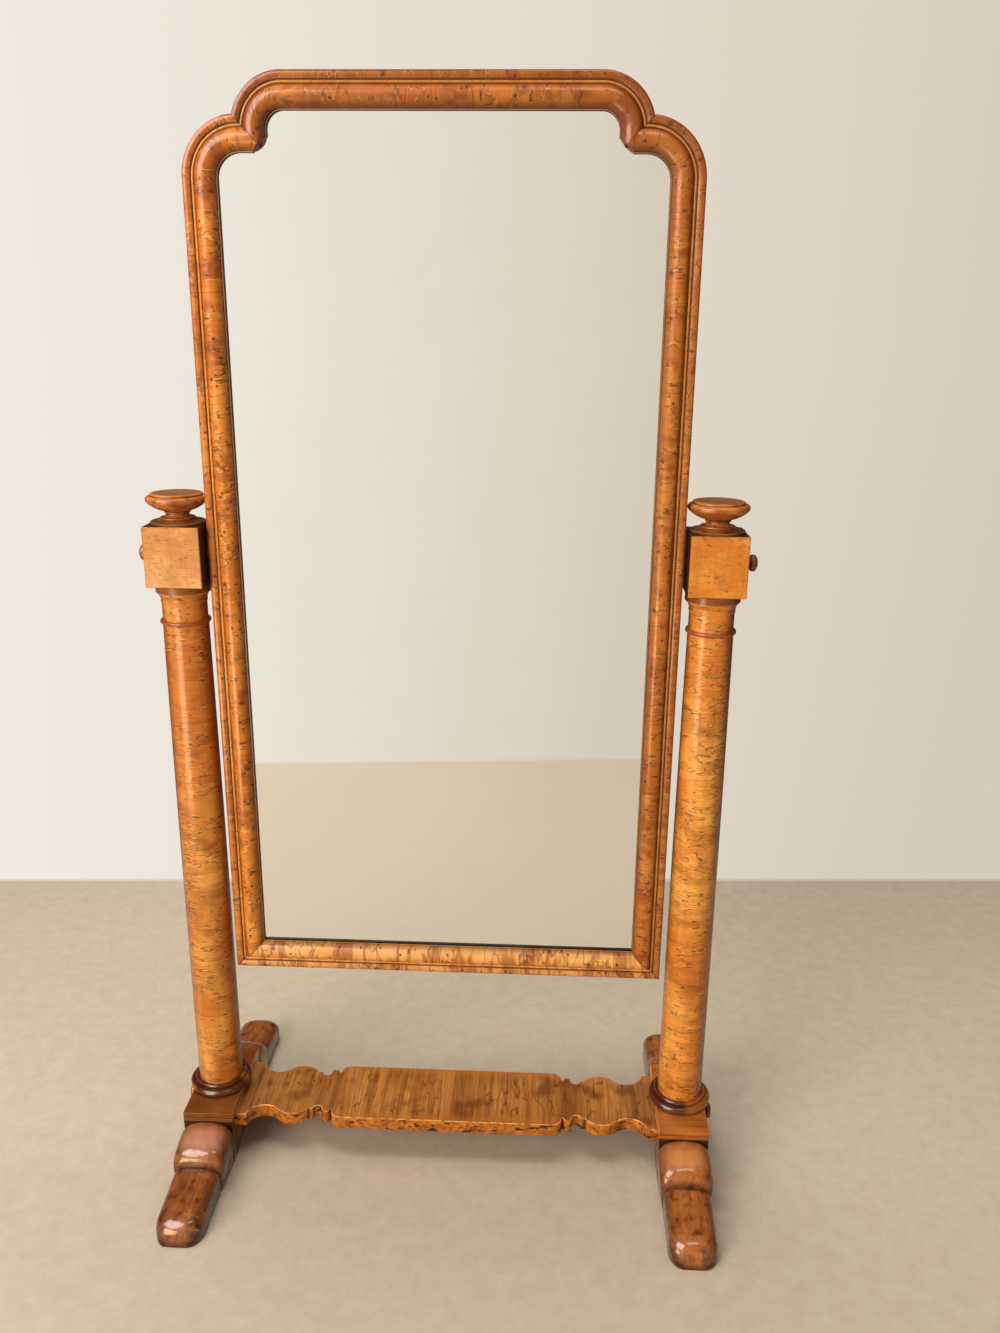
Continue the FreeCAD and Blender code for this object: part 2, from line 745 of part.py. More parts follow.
# Moulding section from the outer edge (distance 0) inwards, with the two rebates behind
def moulding_section():
    groove = s.groove_depth - s.rim_front
    bead_start = s.band_width + s.groove_width
    bead_end = bead_start + s.bead_width
    cushion_end = bead_end + s.cushion_width
    sight = s.sight_setback - s.rim_front - s.lip_thickness
    return [
        (0, s.frame_back), (0, -s.rim_front), (s.band_width, -s.rim_front, s.band_crown),
        (s.band_width, groove), (bead_start, groove), (bead_end, groove, s.bead_bulge),
        (cushion_end, sight, s.cushion_height), (moulding_width, sight), (moulding_width, glass_front),
        (glass_inset, glass_front), (glass_inset, ledge_back), (board_inset, ledge_back),
        (board_inset, s.frame_back),
    ]


def pipe(body, section, path):
    feature = body.newObject("PartDesign::AdditivePipe", body.Name + "_moulding")
    feature.Profile = section
    feature.Spine = (path, [f"Edge{number + 1}" for number in range(path.GeometryCount)])
    return feature


# A cut right through a member: the waste beyond a mitre line or a blunted tip
def mitre_cut(body, name, corners):
    sketch = sketch_on(body, "XZ_Plane", name)
    draw(sketch, corners)
    pocket(body, sketch)


def cusp_mitre(way, below):
    start = (head_half_width + mitre_reach / 4) * way
    end = (head_half_width - mitre_reach) * way
    high = shoulder_height + mitre_reach / 4
    low = shoulder_height - mitre_reach
    return [(start, high), (end, low), (start, low) if below else (end, high)]


def cusp_chamfer(way):
    corner_x = head_half_width - moulding_width
    corner_z = shoulder_height - moulding_width
    spare = s.cusp_chamfer * 0.5
    return [
        ((corner_x + s.cusp_chamfer + spare) * way, corner_z - spare),
        ((corner_x - spare) * way, corner_z + s.cusp_chamfer + spare),
        ((corner_x - spare) * way, corner_z - spare),
    ]


def quarter_bulge(radius):
    return radius * (1 - math.sqrt(0.5))


def stile_blank(side):
    way = SIDES[side]
    body = new_body(f"frame_{side}_stile")
    outer = frame_half_width * way
    section = sketch_on(body, "XY_Plane", "section", frame_bottom)
    corners = []
    for corner in moulding_section():
        point = [(frame_half_width - corner[0]) * way, corner[1]]
        if len(corner) == 3:
            point.append(as_size(corner[2]) * -way)
        corners.append(tuple(point))
    draw(section, corners)
    path = sketch_on(body, "XZ_Plane", "path")
    bend = stile_corner_radius
    run_end = head_half_width - run_past_cusp
    draw(path, [
        (outer, frame_bottom), (outer, shoulder_height - bend),
        ((frame_half_width - bend) * way, shoulder_height, quarter_bulge(bend) * way),
        (run_end * way, shoulder_height),
    ], closed=False)
    pipe(body, section, path)
    inner = (frame_half_width - mitre_reach) * way
    high = frame_bottom + mitre_reach
    mitre_cut(body, "foot_mitre", [(outer, frame_bottom), (inner, frame_bottom), (inner, high)])
    mitre_cut(body, "cusp_mitre", cusp_mitre(way, below=False))
    mitre_cut(body, "cusp_chamfer", cusp_chamfer(way))
    return body


def top_rail_blank():
    body = new_body("frame_top_rail")
    run_start = shoulder_height - run_past_cusp
    section = sketch_on(body, "XY_Plane", "section", run_start)
    corners = []
    for corner in moulding_section():
        point = [corner[0] - head_half_width, corner[1]]
        if len(corner) == 3:
            point.append(corner[2])
        corners.append(tuple(point))
    draw(section, corners)
    path = sketch_on(body, "XZ_Plane", "path")
    bend = top_corner_radius
    draw(path, [
        (-head_half_width, run_start), (-head_half_width, frame_top - bend),
        (bend - head_half_width, frame_top, -quarter_bulge(bend)),
        (head_half_width - bend, frame_top),
        (head_half_width, frame_top - bend, -quarter_bulge(bend)), (head_half_width, run_start),
    ], closed=False)
    pipe(body, section, path)
    for side, way in SIDES.items():
        mitre_cut(body, side + "_cusp_mitre", cusp_mitre(way, below=True))
        mitre_cut(body, side + "_cusp_chamfer", cusp_chamfer(way))
    return body


def bottom_rail_blank():
    body = new_body("frame_bottom_rail")
    section = sketch_on(body, "YZ_Plane", "section")
    corners = []
    for corner in moulding_section():
        point = [corner[1], frame_bottom + corner[0]]
        if len(corner) == 3:
            point.append(-as_size(corner[2]))
        corners.append(tuple(point))
    draw(section, corners)
    pad(body, section, 2 * frame_half_width, symmetric=True)
    high = frame_bottom + mitre_reach
    for side, way in SIDES.items():
        outer = frame_half_width * way
        inner = (frame_half_width - mitre_reach) * way
        mitre_cut(body, side + "_mitre", [(outer, frame_bottom), (outer, high), (inner, high)])
    return body


# Bored and sunk places in the frame, gathered into one cutter for its four members
def cylinder(name, radius, height):
    item = doc.addObject("Part::Cylinder", name)
    bind(item, "Radius", radius)
    bind(item, "Height", height)
    return item


def box(name, length, width, height):
    item = doc.addObject("Part::Box", name)
    bind(item, "Length", length)
    bind(item, "Width", width)
    bind(item, "Height", height)
    return item


# Mitre dowels: (x, z) of each middle and the turn about Y that lays it square to its mitre
def dowel_places():
    for way in (-1, 1):
        yield (frame_half_width - dowel_inset) * way, frame_bottom + dowel_inset, 45 * way
        yield (head_half_width - dowel_inset) * way, shoulder_height - dowel_inset, -45 * way


def lay_dowel(item, x, z, turn, length):
    tilt = math.radians(turn)
    back = length / 2
    place(item, x - back * math.sin(tilt), ZERO, z - back * math.cos(tilt), axis=(0, 1, 0), angle=turn)


# Backboard screws: (x, z) of each, on the ledge between the two rebates
def board_screw_places():
    inset = board_inset + s.board_screw_setback
    side_x = frame_half_width - inset
    low = frame_bottom + inset
    high = frame_top - inset
    top_of_side = shoulder_height - stile_corner_radius
    for way in (-1, 1):
        for share in SIDE_SCREW_SHARES:
            yield side_x * way, frame_bottom + (top_of_side - frame_bottom) * share
        for share in RAIL_SCREW_SHARES:
            yield board_width * share * way, low
            yield board_width * share * way, high


def frame_cutter():
    tools = []
    for index, (x, z, turn) in enumerate(dowel_places()):
        length = s.dowel_length + 2 * s.face_clearance
        bore = cylinder(f"dowel_bore{index}", s.dowel_radius + s.glue_clearance, length)
        lay_dowel(bore, x, z, turn, length)
        tools.append(bore)
    depth = s.board_screw_length - s.backboard_thickness + s.face_clearance
    for index, (x, z) in enumerate(board_screw_places()):
        bore = cylinder(f"board_screw_bore{index}", s.screw_radius + s.glue_clearance, 2 * depth)
        place(bore, x, ledge_back + depth, z, axis=(1, 0, 0), angle=90)
        tools.append(bore)
    for side, way in SIDES.items():
        length = s.plate_length + 2 * s.glue_clearance
        width = s.plate_width + 2 * s.glue_clearance
        sink = box(side + "_plate_sink", 2 * s.plate_thickness, width, length)
        place(sink, frame_half_width * way - s.plate_thickness, -width / 2, s.pivot_height - length / 2)
        tools.append(sink)
        reach = s.plate_boss_depth + s.face_clearance
        boss = cylinder(side + "_boss_bore", boss_radius + s.glue_clearance, reach)
        place(boss, frame_half_width * way, ZERO, s.pivot_height, axis=(0, 1, 0), angle=-90 * way)
        tools.append(boss)
        for share in (-1, 1):
            depth = s.plate_screw_length + s.face_clearance
            bore = cylinder(f"{side}_plate_screw_bore{share + 1}", s.screw_radius + s.glue_clearance, depth)
            height = s.pivot_height + plate_screw_spacing / 2 * share
            place(bore, frame_half_width * way, ZERO, height, axis=(0, 1, 0), angle=-90 * way)
            tools.append(bore)
    cutter = doc.addObject("Part::MultiFuse", "frame_cutter")
    cutter.Shapes = tools
    return cutter


def cut_from(blank, cutter, label):
    cut = doc.addObject("Part::Cut", label + "_cut")
    cut.Base = blank
    cut.Tool = cutter
    return finish(cut, label)


def make_frame():
    cutter = frame_cutter()
    for side in SIDES:
        cut_from(stile_blank(side), cutter, f"frame_{side}_stile")
    cut_from(top_rail_blank(), cutter, "frame_top_rail")
    cut_from(bottom_rail_blank(), cutter, "frame_bottom_rail")


def make_mitre_dowels():
    dowels = []
    for index, (x, z, turn) in enumerate(dowel_places()):
        dowel = cylinder(f"mitre_dowel{index}", s.dowel_radius, s.dowel_length)
        lay_dowel(dowel, x, z, turn, s.dowel_length)
        dowels.append(dowel)
    return make_group("mitre_dowels", dowels)


# One upper corner of the frame's outline set in by a distance, from the side up to the top edge
def head_corner(inset, way):
    side = (frame_half_width - inset) * way
    head = (head_half_width - inset) * way
    ledge = shoulder_height - inset
    top = frame_top - inset
    stile_bend = stile_corner_radius - inset
    top_bend = top_corner_radius - inset
    return [
        (side, shoulder_height - stile_corner_radius),
        ((frame_half_width - stile_corner_radius) * way, ledge, quarter_bulge(stile_bend)),
        (head, ledge),
        (head, frame_top - top_corner_radius),
        ((head_half_width - top_corner_radius) * way, top, quarter_bulge(top_bend)),
    ]


# The same corner drawn from the top edge down to the side
def reversed_run(corners):
    run = []
    for index in range(len(corners) - 1, -1, -1):
        point = list(corners[index][:2])
        if index + 1 < len(corners) and len(corners[index + 1]) == 3:
            point.append(corners[index + 1][2])
        run.append(tuple(point))
    return run


def slab(name, outline, back, thickness):
    body = new_body(name)
    sketch = sketch_on(body, "XZ_Plane", "outline", -back)
    draw(sketch, outline)
    pad(body, sketch, thickness)
    return body


def make_glass():
    inset = glass_inset + s.glass_clearance
    side = frame_half_width - inset
    low = frame_bottom + inset
    outline = [(-side, low), (side, low)] + head_corner(inset, 1) + reversed_run(head_corner(inset, -1))
    back = glass_front + s.face_clearance / 2 + s.glass_thickness
    return finish(slab("mirror_glass", outline, back, s.glass_thickness), "mirror_glass")


def make_glass_blocks():
    back = ledge_back - s.face_clearance
    front = glass_front + s.face_clearance + s.glass_thickness
    inset = glass_inset + s.face_clearance
    side_x = frame_half_width - inset
    low = frame_bottom + inset
    high = frame_top - inset
    half = s.glass_block_length / 2
    blocks = []
    for way in (-1, 1):
        edge = side_x if way < 0 else side_x - s.glass_block_width
        for share in GLASS_BLOCK_SHARES:
            block = box(f"side_block{len(blocks)}", s.glass_block_width, back - front, s.glass_block_length)
            x = -edge if way < 0 else edge
            place(block, x, front, frame_bottom + (shoulder_height - frame_bottom) * share - half)
            blocks.append(block)
        for level in (low, high - s.glass_block_width):
            block = box(f"rail_block{len(blocks)}", s.glass_block_length, back - front, s.glass_block_width)
            place(block, board_width / 2 * way - half, front, level)
            blocks.append(block)
    return make_group("glass_blocks", blocks)


# Backboards: three upright boards, the outer two shaped to the head
def make_backboards():
    inset = board_inset + s.glass_clearance
    low = frame_bottom + inset
    high = frame_top - inset
    middle = board_width / 2
    edge = middle + s.board_joint_gap
    outer = frame_half_width - inset
    left_head = reversed_run(head_corner(inset, -1))
    right_head = head_corner(inset, 1)
    outlines = {
        "left_backboard": [(-outer, low), (-edge, low), (-edge, high)] + left_head,
        "centre_backboard": [(-middle, low), (middle, low), (middle, high), (-middle, high)],
        "right_backboard": [(edge, low), (outer, low)] + right_head + [(edge, high)],
    }
    spans = {
        "left_backboard": (-outer, -edge),
        "centre_backboard": (-middle, middle),
        "right_backboard": (edge, outer),
    }
    for name, outline in outlines.items():
        body = slab(name, outline, s.frame_back - s.face_clearance / 2, s.backboard_thickness)
        start, end = spans[name]
        sketch = sketch_on(body, "XZ_Plane", "screw_holes")
        for x, z in board_screw_places():
            if start.value < x.value < end.value:
                circle(sketch, x, z, s.screw_radius + s.glue_clearance)
        pocket(body, sketch)
        finish(body, name)


# A round-headed screw along local Z, its head seated at height 0
def wood_screw(name, length):
    return turned(name, [
        (0, -s.screw_head_height), (s.screw_head_radius, -s.screw_head_height), (s.screw_head_radius, 0),
        (s.screw_radius, 0), (s.screw_radius, length), (0, length),
    ])


def make_backboard_screws():
    screws = []
    for index, (x, z) in enumerate(board_screw_places()):
        screw = wood_screw(f"board_screw{index}", s.board_screw_length)
        place(screw, x, s.frame_back - s.face_clearance / 2, z, axis=(1, 0, 0), angle=90)
        screws.append(screw)
    return make_group("backboard_screws", screws)


# Pivot plate: a brass plate let into the stile's edge, with a socket boss and two counterbored holes
def make_pivot_plate(side):
    body = new_body(side + "_pivot_plate")
    sketch = sketch_on(body, "XY_Plane", "plate")
    rectangle(sketch, -s.plate_length / 2, s.plate_length / 2, -s.plate_width / 2, s.plate_width / 2)
    pad(body, sketch, s.plate_thickness)
    boss = sketch_on(body, "XY_Plane", "boss")
    circle(boss, 0, 0, boss_radius)
    pad(body, boss, s.plate_boss_depth)
    drill(body, "XY_Plane", "socket", 0, 0, socket_radius)
    holes = sketch_on(body, "XY_Plane", "screw_holes")
    seats = sketch_on(body, "XY_Plane", "screw_seats")
    for share in (-1, 1):
        circle(holes, plate_screw_spacing / 2 * share, 0, s.screw_radius + s.glue_clearance)
        circle(seats, plate_screw_spacing / 2 * share, 0, s.screw_head_radius + s.glue_clearance)
    pocket(body, holes)
    pocket(body, seats, s.screw_head_height + s.glue_clearance, reverse=True)
    place_across(body, side, frame_half_width, s.pivot_height)
    return finish(body, side + "_pivot_plate")


def make_plate_screws():
    screws = []
    for side in SIDES:
        for share in (-1, 1):
            screw = wood_screw(f"{side}_plate_screw{share + 1}", s.plate_screw_length - s.screw_head_height)
            height = s.pivot_height + plate_screw_spacing / 2 * share
            place_across(screw, side, frame_half_width - s.screw_head_height - s.glue_clearance, height)
            screws.append(screw)
    return make_group("pivot_plate_screws", screws)


# Pivot washer: fills the gap between stile and block but for its running face
def make_pivot_washer(side):
    thickness = s.side_gap - s.face_clearance
    rim = socket_radius + s.washer_margin
    body = turned(side + "_pivot_washer", [
        (socket_radius, -thickness), (rim, -thickness), (rim, 0), (socket_radius, 0),
    ])
    place_across(body, side, frame_half_width, s.pivot_height)
    return finish(body, side + "_pivot_washer")


def make_pivot_bush(side):
    flange = bush_radius + s.bush_flange_margin
    body = turned(side + "_pivot_bush", [
        (socket_radius, -s.bush_flange_height), (flange, -s.bush_flange_height), (flange, 0),
        (bush_radius, 0), (bush_radius, s.block_width), (socket_radius, s.block_width),
    ])
    place_across(body, side, half_spacing + s.block_width / 2, s.pivot_height)
    return finish(body, side + "_pivot_bush")


# Pivot knob: a turned button on a short neck, bored for the screw's pin
def make_pivot_knob(side):
    neck_start = s.bush_flange_height + s.face_clearance
    neck_end = neck_start + s.knob_neck_length
    bore = s.knob_pin_radius + s.running_clearance
    bore_end = neck_start + s.knob_pin_length + s.face_clearance
    neck_radius = s.knob_pin_radius + s.knob_neck_wall
    body = turned(side + "_pivot_knob", [
        (0, -s.knob_projection), (s.knob_crown_radius, -s.knob_projection),
        (s.knob_radius, -neck_end - s.knob_bulge, s.knob_bulge), (s.knob_radius, -neck_end),
        (neck_radius, -neck_end), (neck_radius, -neck_start),
        (bore, -neck_start), (bore, -bore_end), (0, -bore_end),
    ])
    place_across(body, side, half_spacing + s.block_width / 2, s.pivot_height)
    return finish(body, side + "_pivot_knob")


# Pivot screw: pinned in the knob, running through bush and washer into the plate's socket
def make_pivot_screw(side):
    shoulder = s.bush_flange_height + s.face_clearance
    tip = s.block_width + s.side_gap + s.pivot_tip_depth
    body = turned(side + "_pivot_screw", [
        (0, -shoulder - s.knob_pin_length), (s.knob_pin_radius, -shoulder - s.knob_pin_length),
        (s.knob_pin_radius, -shoulder), (s.pivot_radius, -shoulder), (s.pivot_radius, tip), (0, tip),
    ])
    place_across(body, side, half_spacing + s.block_width / 2, s.pivot_height)
    return finish(body, side + "_pivot_screw")


for side in SIDES:
    make_foot(side)
    make_plinth(side)
    make_base_ring(side)
    make_column(side)
    make_neck_ring(side)
    make_capital(side)
    make_pivot_block(side)
    make_finial(side)
    make_stretcher_bolt(side)
    make_pivot_bush(side)
    make_pivot_knob(side)
    make_pivot_screw(side)
    make_pivot_washer(side)
    make_pivot_plate(side)
make_stretcher()
make_stretcher_nuts()
make_frame()
make_mitre_dowels()
make_glass()
make_glass_blocks()
make_backboards()
make_backboard_screws()
make_plate_screws()
doc.recompute()

# Every object has to be sound before anything is written
for item in doc.Objects:
    if "Invalid" in item.State or "Error" in item.State:
        raise RuntimeError(f"{item.Name} failed: {item.State}")
for item in parts:
    if item.Shape.isNull() or not item.Shape.isValid():
        raise RuntimeError(f"{item.Label} has no valid shape")
os.makedirs("parts", exist_ok=True)
for item in parts:
    item.Shape.exportStep(f"parts/{item.Label}.step")
    print(item.Label, len(item.Shape.Solids), "solids", round(item.Shape.Volume / 1000, 2), "cubic cm")
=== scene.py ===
import math
from functools import partial

import bmesh
import bpy
import numpy as np
from mathutils import Matrix, Vector


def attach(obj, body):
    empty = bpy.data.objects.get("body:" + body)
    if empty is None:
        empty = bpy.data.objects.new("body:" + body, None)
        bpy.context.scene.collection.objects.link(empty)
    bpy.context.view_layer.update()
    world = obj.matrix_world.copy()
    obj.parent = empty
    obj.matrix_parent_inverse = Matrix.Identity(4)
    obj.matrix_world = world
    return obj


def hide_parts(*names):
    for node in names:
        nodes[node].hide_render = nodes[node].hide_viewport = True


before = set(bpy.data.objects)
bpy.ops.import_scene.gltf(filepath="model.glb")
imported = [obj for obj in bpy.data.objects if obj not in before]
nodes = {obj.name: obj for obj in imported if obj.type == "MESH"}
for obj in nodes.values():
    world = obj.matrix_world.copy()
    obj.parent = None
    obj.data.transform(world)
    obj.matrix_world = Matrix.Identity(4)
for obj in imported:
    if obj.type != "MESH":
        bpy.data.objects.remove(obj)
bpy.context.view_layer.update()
scene = bpy.context.scene
sides = {"left": -1, "right": 1}
print("frame loaded:", len(nodes), "nodes")


# Materials
def hexLinear(code):  # sRGB hex to the linear colour that a socket takes
    rgb = np.array([int(code[i:i + 2], 16) for i in (1, 3, 5)]) / 255
    low, high = rgb / 12.92, ((rgb + 0.055) / 1.055) ** 2.4
    return (*np.where(rgb <= 0.04045, low, high).tolist(), 1.0)


def addNode(tree, kind, links=None, **settings):  # a link is another node's output or a value
    node = tree.nodes.new("ShaderNode" + kind)
    for key, value in settings.items():
        setattr(node, key, value)
    for socket, value in (links or {}).items():
        if isinstance(value, bpy.types.NodeSocket):
            tree.links.new(value, node.inputs[socket])
        else:
            node.inputs[socket].default_value = value
    return node.outputs


def startNodes(owner):  # empties the tree of a material or the world, and gives what adds a node to it
    owner.use_nodes = True
    owner.node_tree.nodes.clear()
    return partial(addNode, owner.node_tree)


# What each kind of layer takes, in this order. A layer may also shift, warp or clump its pattern, and carry
# bump (mm) and rough. Sizes are in mm, reach is in metres from the middle, a mark is the piece's attribute.
layerValues = {
    "patch": ("size", "low", "high", "amount", "colour"),
    "line": ("size", "level", "width", "amount", "colour"),
    "dot": ("size", "radius", "share", "amount", "colour"),
    "leaf": ("size", "low", "high", "amount", "colour"),
    "joint": ("size", "width", "amount", "colour"),
    "reach": ("low", "high", "amount", "colour"),
    "mark": ("name", "amount", "colour"),
}
# Masks that are full inside an edge: which value sets the edge, and the share of it that is full.
maskEdges = {"line": ("width", 0.0), "joint": ("width", 0.0), "dot": ("radius", 0.4)}
patternDefaults = {"shift": (0.0, 0.0, 0.0), "warpScale": 0.8, "detail": 2.0}


def lay(kind, *values, **more):
    return {"kind": kind, **dict(zip(layerValues[kind], values)), **more}


# A finish is a base colour with layers over it. Each layer makes a mask from its pattern, and the mask mixes
# in a colour, lifts or sinks the surface and changes the roughness.
def makeFinish(name, base, rough, shader, layers, space="Object"):
    finish = bpy.data.materials.new(name)
    add = startNodes(finish)
    coords = add("TexCoord")[space]
    colour, height = hexLinear(base), 0.0
    for layer in layers:
        kind, amount = layer["kind"], layer.get("amount", 1.0)
        spots = []
        for part in (layer, layer.get("clump")):
            if part and "size" in part:
                part = {**patternDefaults, **part}
                scale = [1000 / size for size in part["size"]]
                spot = add("Mapping", {"Vector": coords, "Scale": scale, "Location": part["shift"]})[0]
                if "warp" in part:  # bends the pattern, by a share of its size
                    sway = {"Vector": spot, "Scale": part["warpScale"], "Detail": patternDefaults["detail"]}
                    sway = add("TexNoise", sway)["Color"]
                    bend = {0: sway, 1: (part["warp"],) * 3, 2: spot}
                    spot = add("VectorMath", bend, operation="MULTIPLY_ADD")[0]
                spots.append(spot)
        if kind in ("patch", "line"):
            detail = layer.get("detail", patternDefaults["detail"])
            value = add("TexNoise", {"Vector": spots[0], "Scale": 1.0, "Detail": detail})[0]
        if kind in ("leaf", "joint", "reach"):
            along = spots[0] if spots else coords
            value = add("SeparateXYZ", {0: along})[layer.get("axis", 0)]
        if kind == "reach":
            value = add("Math", {0: value}, operation="ABSOLUTE")[0]
        if kind in ("line", "reach"):  # contours of the noise, or how far it is from a line beside the middle
            value = add("Math", {0: value, 1: layer.get("level", 0.0)}, operation="SUBTRACT")[0]
            value = add("Math", {0: value}, operation="ABSOLUTE")[0]
        if kind == "joint":  # the line where two leaves meet
            shape = {"voronoi_dimensions": "1D", "feature": "DISTANCE_TO_EDGE"}
            value = add("TexVoronoi", {"W": value, "Scale": 1.0}, **shape)["Distance"]
        if kind == "leaf":  # a shade of its own for each leaf along the piece
            cells = add("TexVoronoi", {"W": value, "Scale": 1.0}, voronoi_dimensions="1D")
            value = add("SeparateColor", {0: cells["Color"]})[0]
        gates = []
        if kind == "dot":  # one spot in some of the cells
            cells = add("TexVoronoi", {"Vector": spots[0], "Scale": 1.0})
            value = cells["Distance"]
            pick = add("SeparateColor", {0: cells["Color"]})[0]
            gates.append(add("Math", {0: pick, 1: layer["share"]}, operation="LESS_THAN")[0])
        if kind == "mark":
            value = add("Attribute", attribute_name=layer["name"])["Fac"]
            mask = add("Math", {0: value, 1: amount}, operation="MULTIPLY")[0]
        else:
            edge, full = maskEdges.get(kind, ("low", None))
            low = layer[edge]
            high = layer["high"] if full is None else low * full
            mask = add("MapRange", {0: value, 1: low, 2: high, 4: amount})[0]
        if "clump" in layer:
            noise = {"Vector": spots[-1], "Scale": 1.0, "Detail": patternDefaults["detail"]}
            noise = add("TexNoise", noise)[0]
            gate = {0: noise, 1: layer["clump"]["low"], 2: layer["clump"]["high"]}
            gates.append(add("MapRange", gate)[0])
        for gate in gates:
            mask = add("Math", {0: mask, 1: gate}, operation="MULTIPLY")[0]
        if "colour" in layer:
            colour = add("Mix", {0: mask, 6: colour, 7: hexLinear(layer["colour"])}, data_type="RGBA")[2]
        if "bump" in layer:
            height = add("Math", {0: mask, 1: layer["bump"], 2: height}, operation="MULTIPLY_ADD")[0]
        if "rough" in layer:
            rough = add("Math", {0: mask, 1: layer["rough"], 2: rough}, operation="MULTIPLY_ADD")[0]
    surface = {"Base Color": colour, "Roughness": rough, **shader}
    if isinstance(height, bpy.types.NodeSocket):
        surface["Normal"] = add("Bump", {"Height": height, "Strength": 1.0, "Distance": 0.001})[0]
    add("OutputMaterial", {0: add("BsdfPrincipled", surface)[0]})
    return finish


polish = {"IOR": 1.5, "Specular IOR Level": 0.16, "Coat Weight": 0.45, "Coat Roughness": 0.21}
gloss = {"IOR": 1.5, "Specular IOR Level": 0.2, "Coat Weight": 0.85, "Coat Roughness": 0.12}
dry = {"IOR": 1.5, "Specular IOR Level": 0.25}
rubbed = lay("mark", "worn", 0.5, "#F7AA49")
# Grime with painted shade, darkest in inner corners, grooves and where parts meet.
grimy = lay("mark", "grime", 0.8, "#331507", rough=0.2)

# Bird's-eye maple veneer, laid across the moulding in short leaves and French polished: each leaf takes its
# own shade, with dark dashes across the grain, round eyes, wavy curls, reddish clouds and dark joints.
veneerCurls = lay("patch", (24, 26, 1), 0.4, 0.52, shift=(5, 5, 0))
veneerLayers = [
    lay("patch", (70, 34, 1), 0.4, 0.62, 0.85, "#EC9434", shift=(3, 1, 0)),
    lay("leaf", (96, 1, 1), 0.3, 1.0, 0.34, "#94440F"),
    lay("leaf", (96, 1, 1), 0.4, 0.0, 0.3, "#F0A044"),
    lay("patch", (3.2, 40, 1), 0.46, 0.7, 0.2, "#8E4511", detail=3.0, warp=0.5, warpScale=0.3),
    lay("patch", (11, 52, 1), 0.46, 0.62, 0.62, "#94450F", warp=0.7, warpScale=0.5, bump=-0.1,
        clump=lay("patch", (130, 90, 1), 0.44, 0.58, shift=(1, 4, 0))),
    lay("patch", (30, 22, 1), 0.54, 0.68, 0.65, "#86390C", shift=(7, 2, 0)),
    # painted highlight beside the dark curls
    lay("line", (12, 36, 1), 0.53, 0.03, 0.55, "#FFC05E", warp=0.6, bump=0.1, clump=veneerCurls),
    lay("line", (12, 36, 1), 0.5, 0.034, 0.85, "#59270B", warp=0.6, bump=-0.2, clump=veneerCurls),
    lay("dot", (9, 22, 9), 0.32, 0.24, 0.85, "#421C07", bump=-0.2, warp=1.0),
    lay("dot", (11, 11, 9), 0.25, 0.4, 0.95, "#2E1205", bump=-0.1, shift=(2, 6, 0)),
    lay("joint", (96, 1, 1), 0.01, 0.5, "#54250B", bump=-0.1),
    # painted shade, from the piece's shade mark
    lay("mark", "shade", 0.8, "#682A0C"),
    lay("mark", "worn", 0.5, "#FFB050"),
    lay("mark", "grime", 0.75, "#3A1908", rough=0.2),
    lay("patch", (18, 18, 1), 0.35, 0.7, rough=0.12, shift=(9, 9, 0)),
]
veneer = makeFinish("birdseye_maple_veneer", "#D57520", 0.3, polish, veneerLayers, "UV")

# The same veneer on the bottom rail, painted paler as if lit from above, with bold wavy stripes across it.
stripedVeneer = makeFinish("wavy_maple_veneer", "#EA9C50", 0.3, polish, [
    lay("patch", (70, 34, 1), 0.4, 0.62, 0.8, "#F5B468"),
    lay("patch", (15, 60, 1), 0.5, 0.6, 0.7, "#A65A22", warp=0.9, warpScale=0.5, bump=-0.15),
    lay("line", (26, 60, 1), 0.5, 0.022, 0.8, "#6A3010", warp=0.8, warpScale=0.6, bump=-0.2),
    *veneerLayers[8:],
], "UV")

# Figured maple shaft, turned and polished: dark dashes lie level round it, each sunk a little with a painted
# highlight along its lip, wavy curls crowd into bands, and reddish clouds lie over the amber.
columnCurls = lay("patch", (60, 60, 44), 0.33, 0.5, shift=(2, 2, 2))
columnWood = makeFinish("figured_maple_turned", "#EA8A2E", 0.3, polish, [
    lay("patch", (80, 80, 130), 0.4, 0.62, 0.85, "#FFB350"),
    lay("patch", (40, 40, 3), 0.46, 0.74, 0.22, "#9C4D13", detail=3.0),
    lay("leaf", (1, 1, 120), 0.35, 1.0, 0.2, "#A04C12", axis=2),
    lay("patch", (16, 16, 130), 0.46, 0.68, 0.3, "#A04C12", shift=(7, 3, 1)),
    lay("patch", (44, 44, 26), 0.52, 0.68, 0.45, "#8A3C10", shift=(4, 4, 4)),
    lay("patch", (36, 36, 9), 0.5, 0.66, 0.34, "#94450F", warp=0.6, bump=-0.3, clump=columnCurls),
    # painted highlights on the lips of the sunk curls and dashes
    lay("line", (36, 36, 9), 0.46, 0.034, 0.3, "#FFC662", bump=0.3, warp=0.6, clump=columnCurls),
    lay("line", (36, 36, 9), 0.5, 0.034, 0.8, "#63290B", bump=-0.35, warp=0.6, clump=columnCurls),
    lay("dot", (22, 22, 7), 0.3, 0.34, 0.5, "#FFC662", bump=0.15, warp=1.0, shift=(0, 0, -0.26)),
    lay("dot", (22, 22, 7), 0.28, 0.34, 0.85, "#5A260B", bump=-0.35, warp=1.0),
    lay("dot", (12, 12, 10), 0.18, 0.25, 0.85, "#3F1A07", bump=-0.1, shift=(6, 1, 3)),
    lay("joint", (1, 1, 120), 0.012, 0.4, "#54250B", axis=2),
    # painted shade on the shaft's sides and under the block
    lay("mark", "shade", 0.8, "#742D0C"),
    rubbed, grimy,
    lay("patch", (24, 24, 40), 0.35, 0.7, rough=0.12, shift=(9, 9, 9)),
])

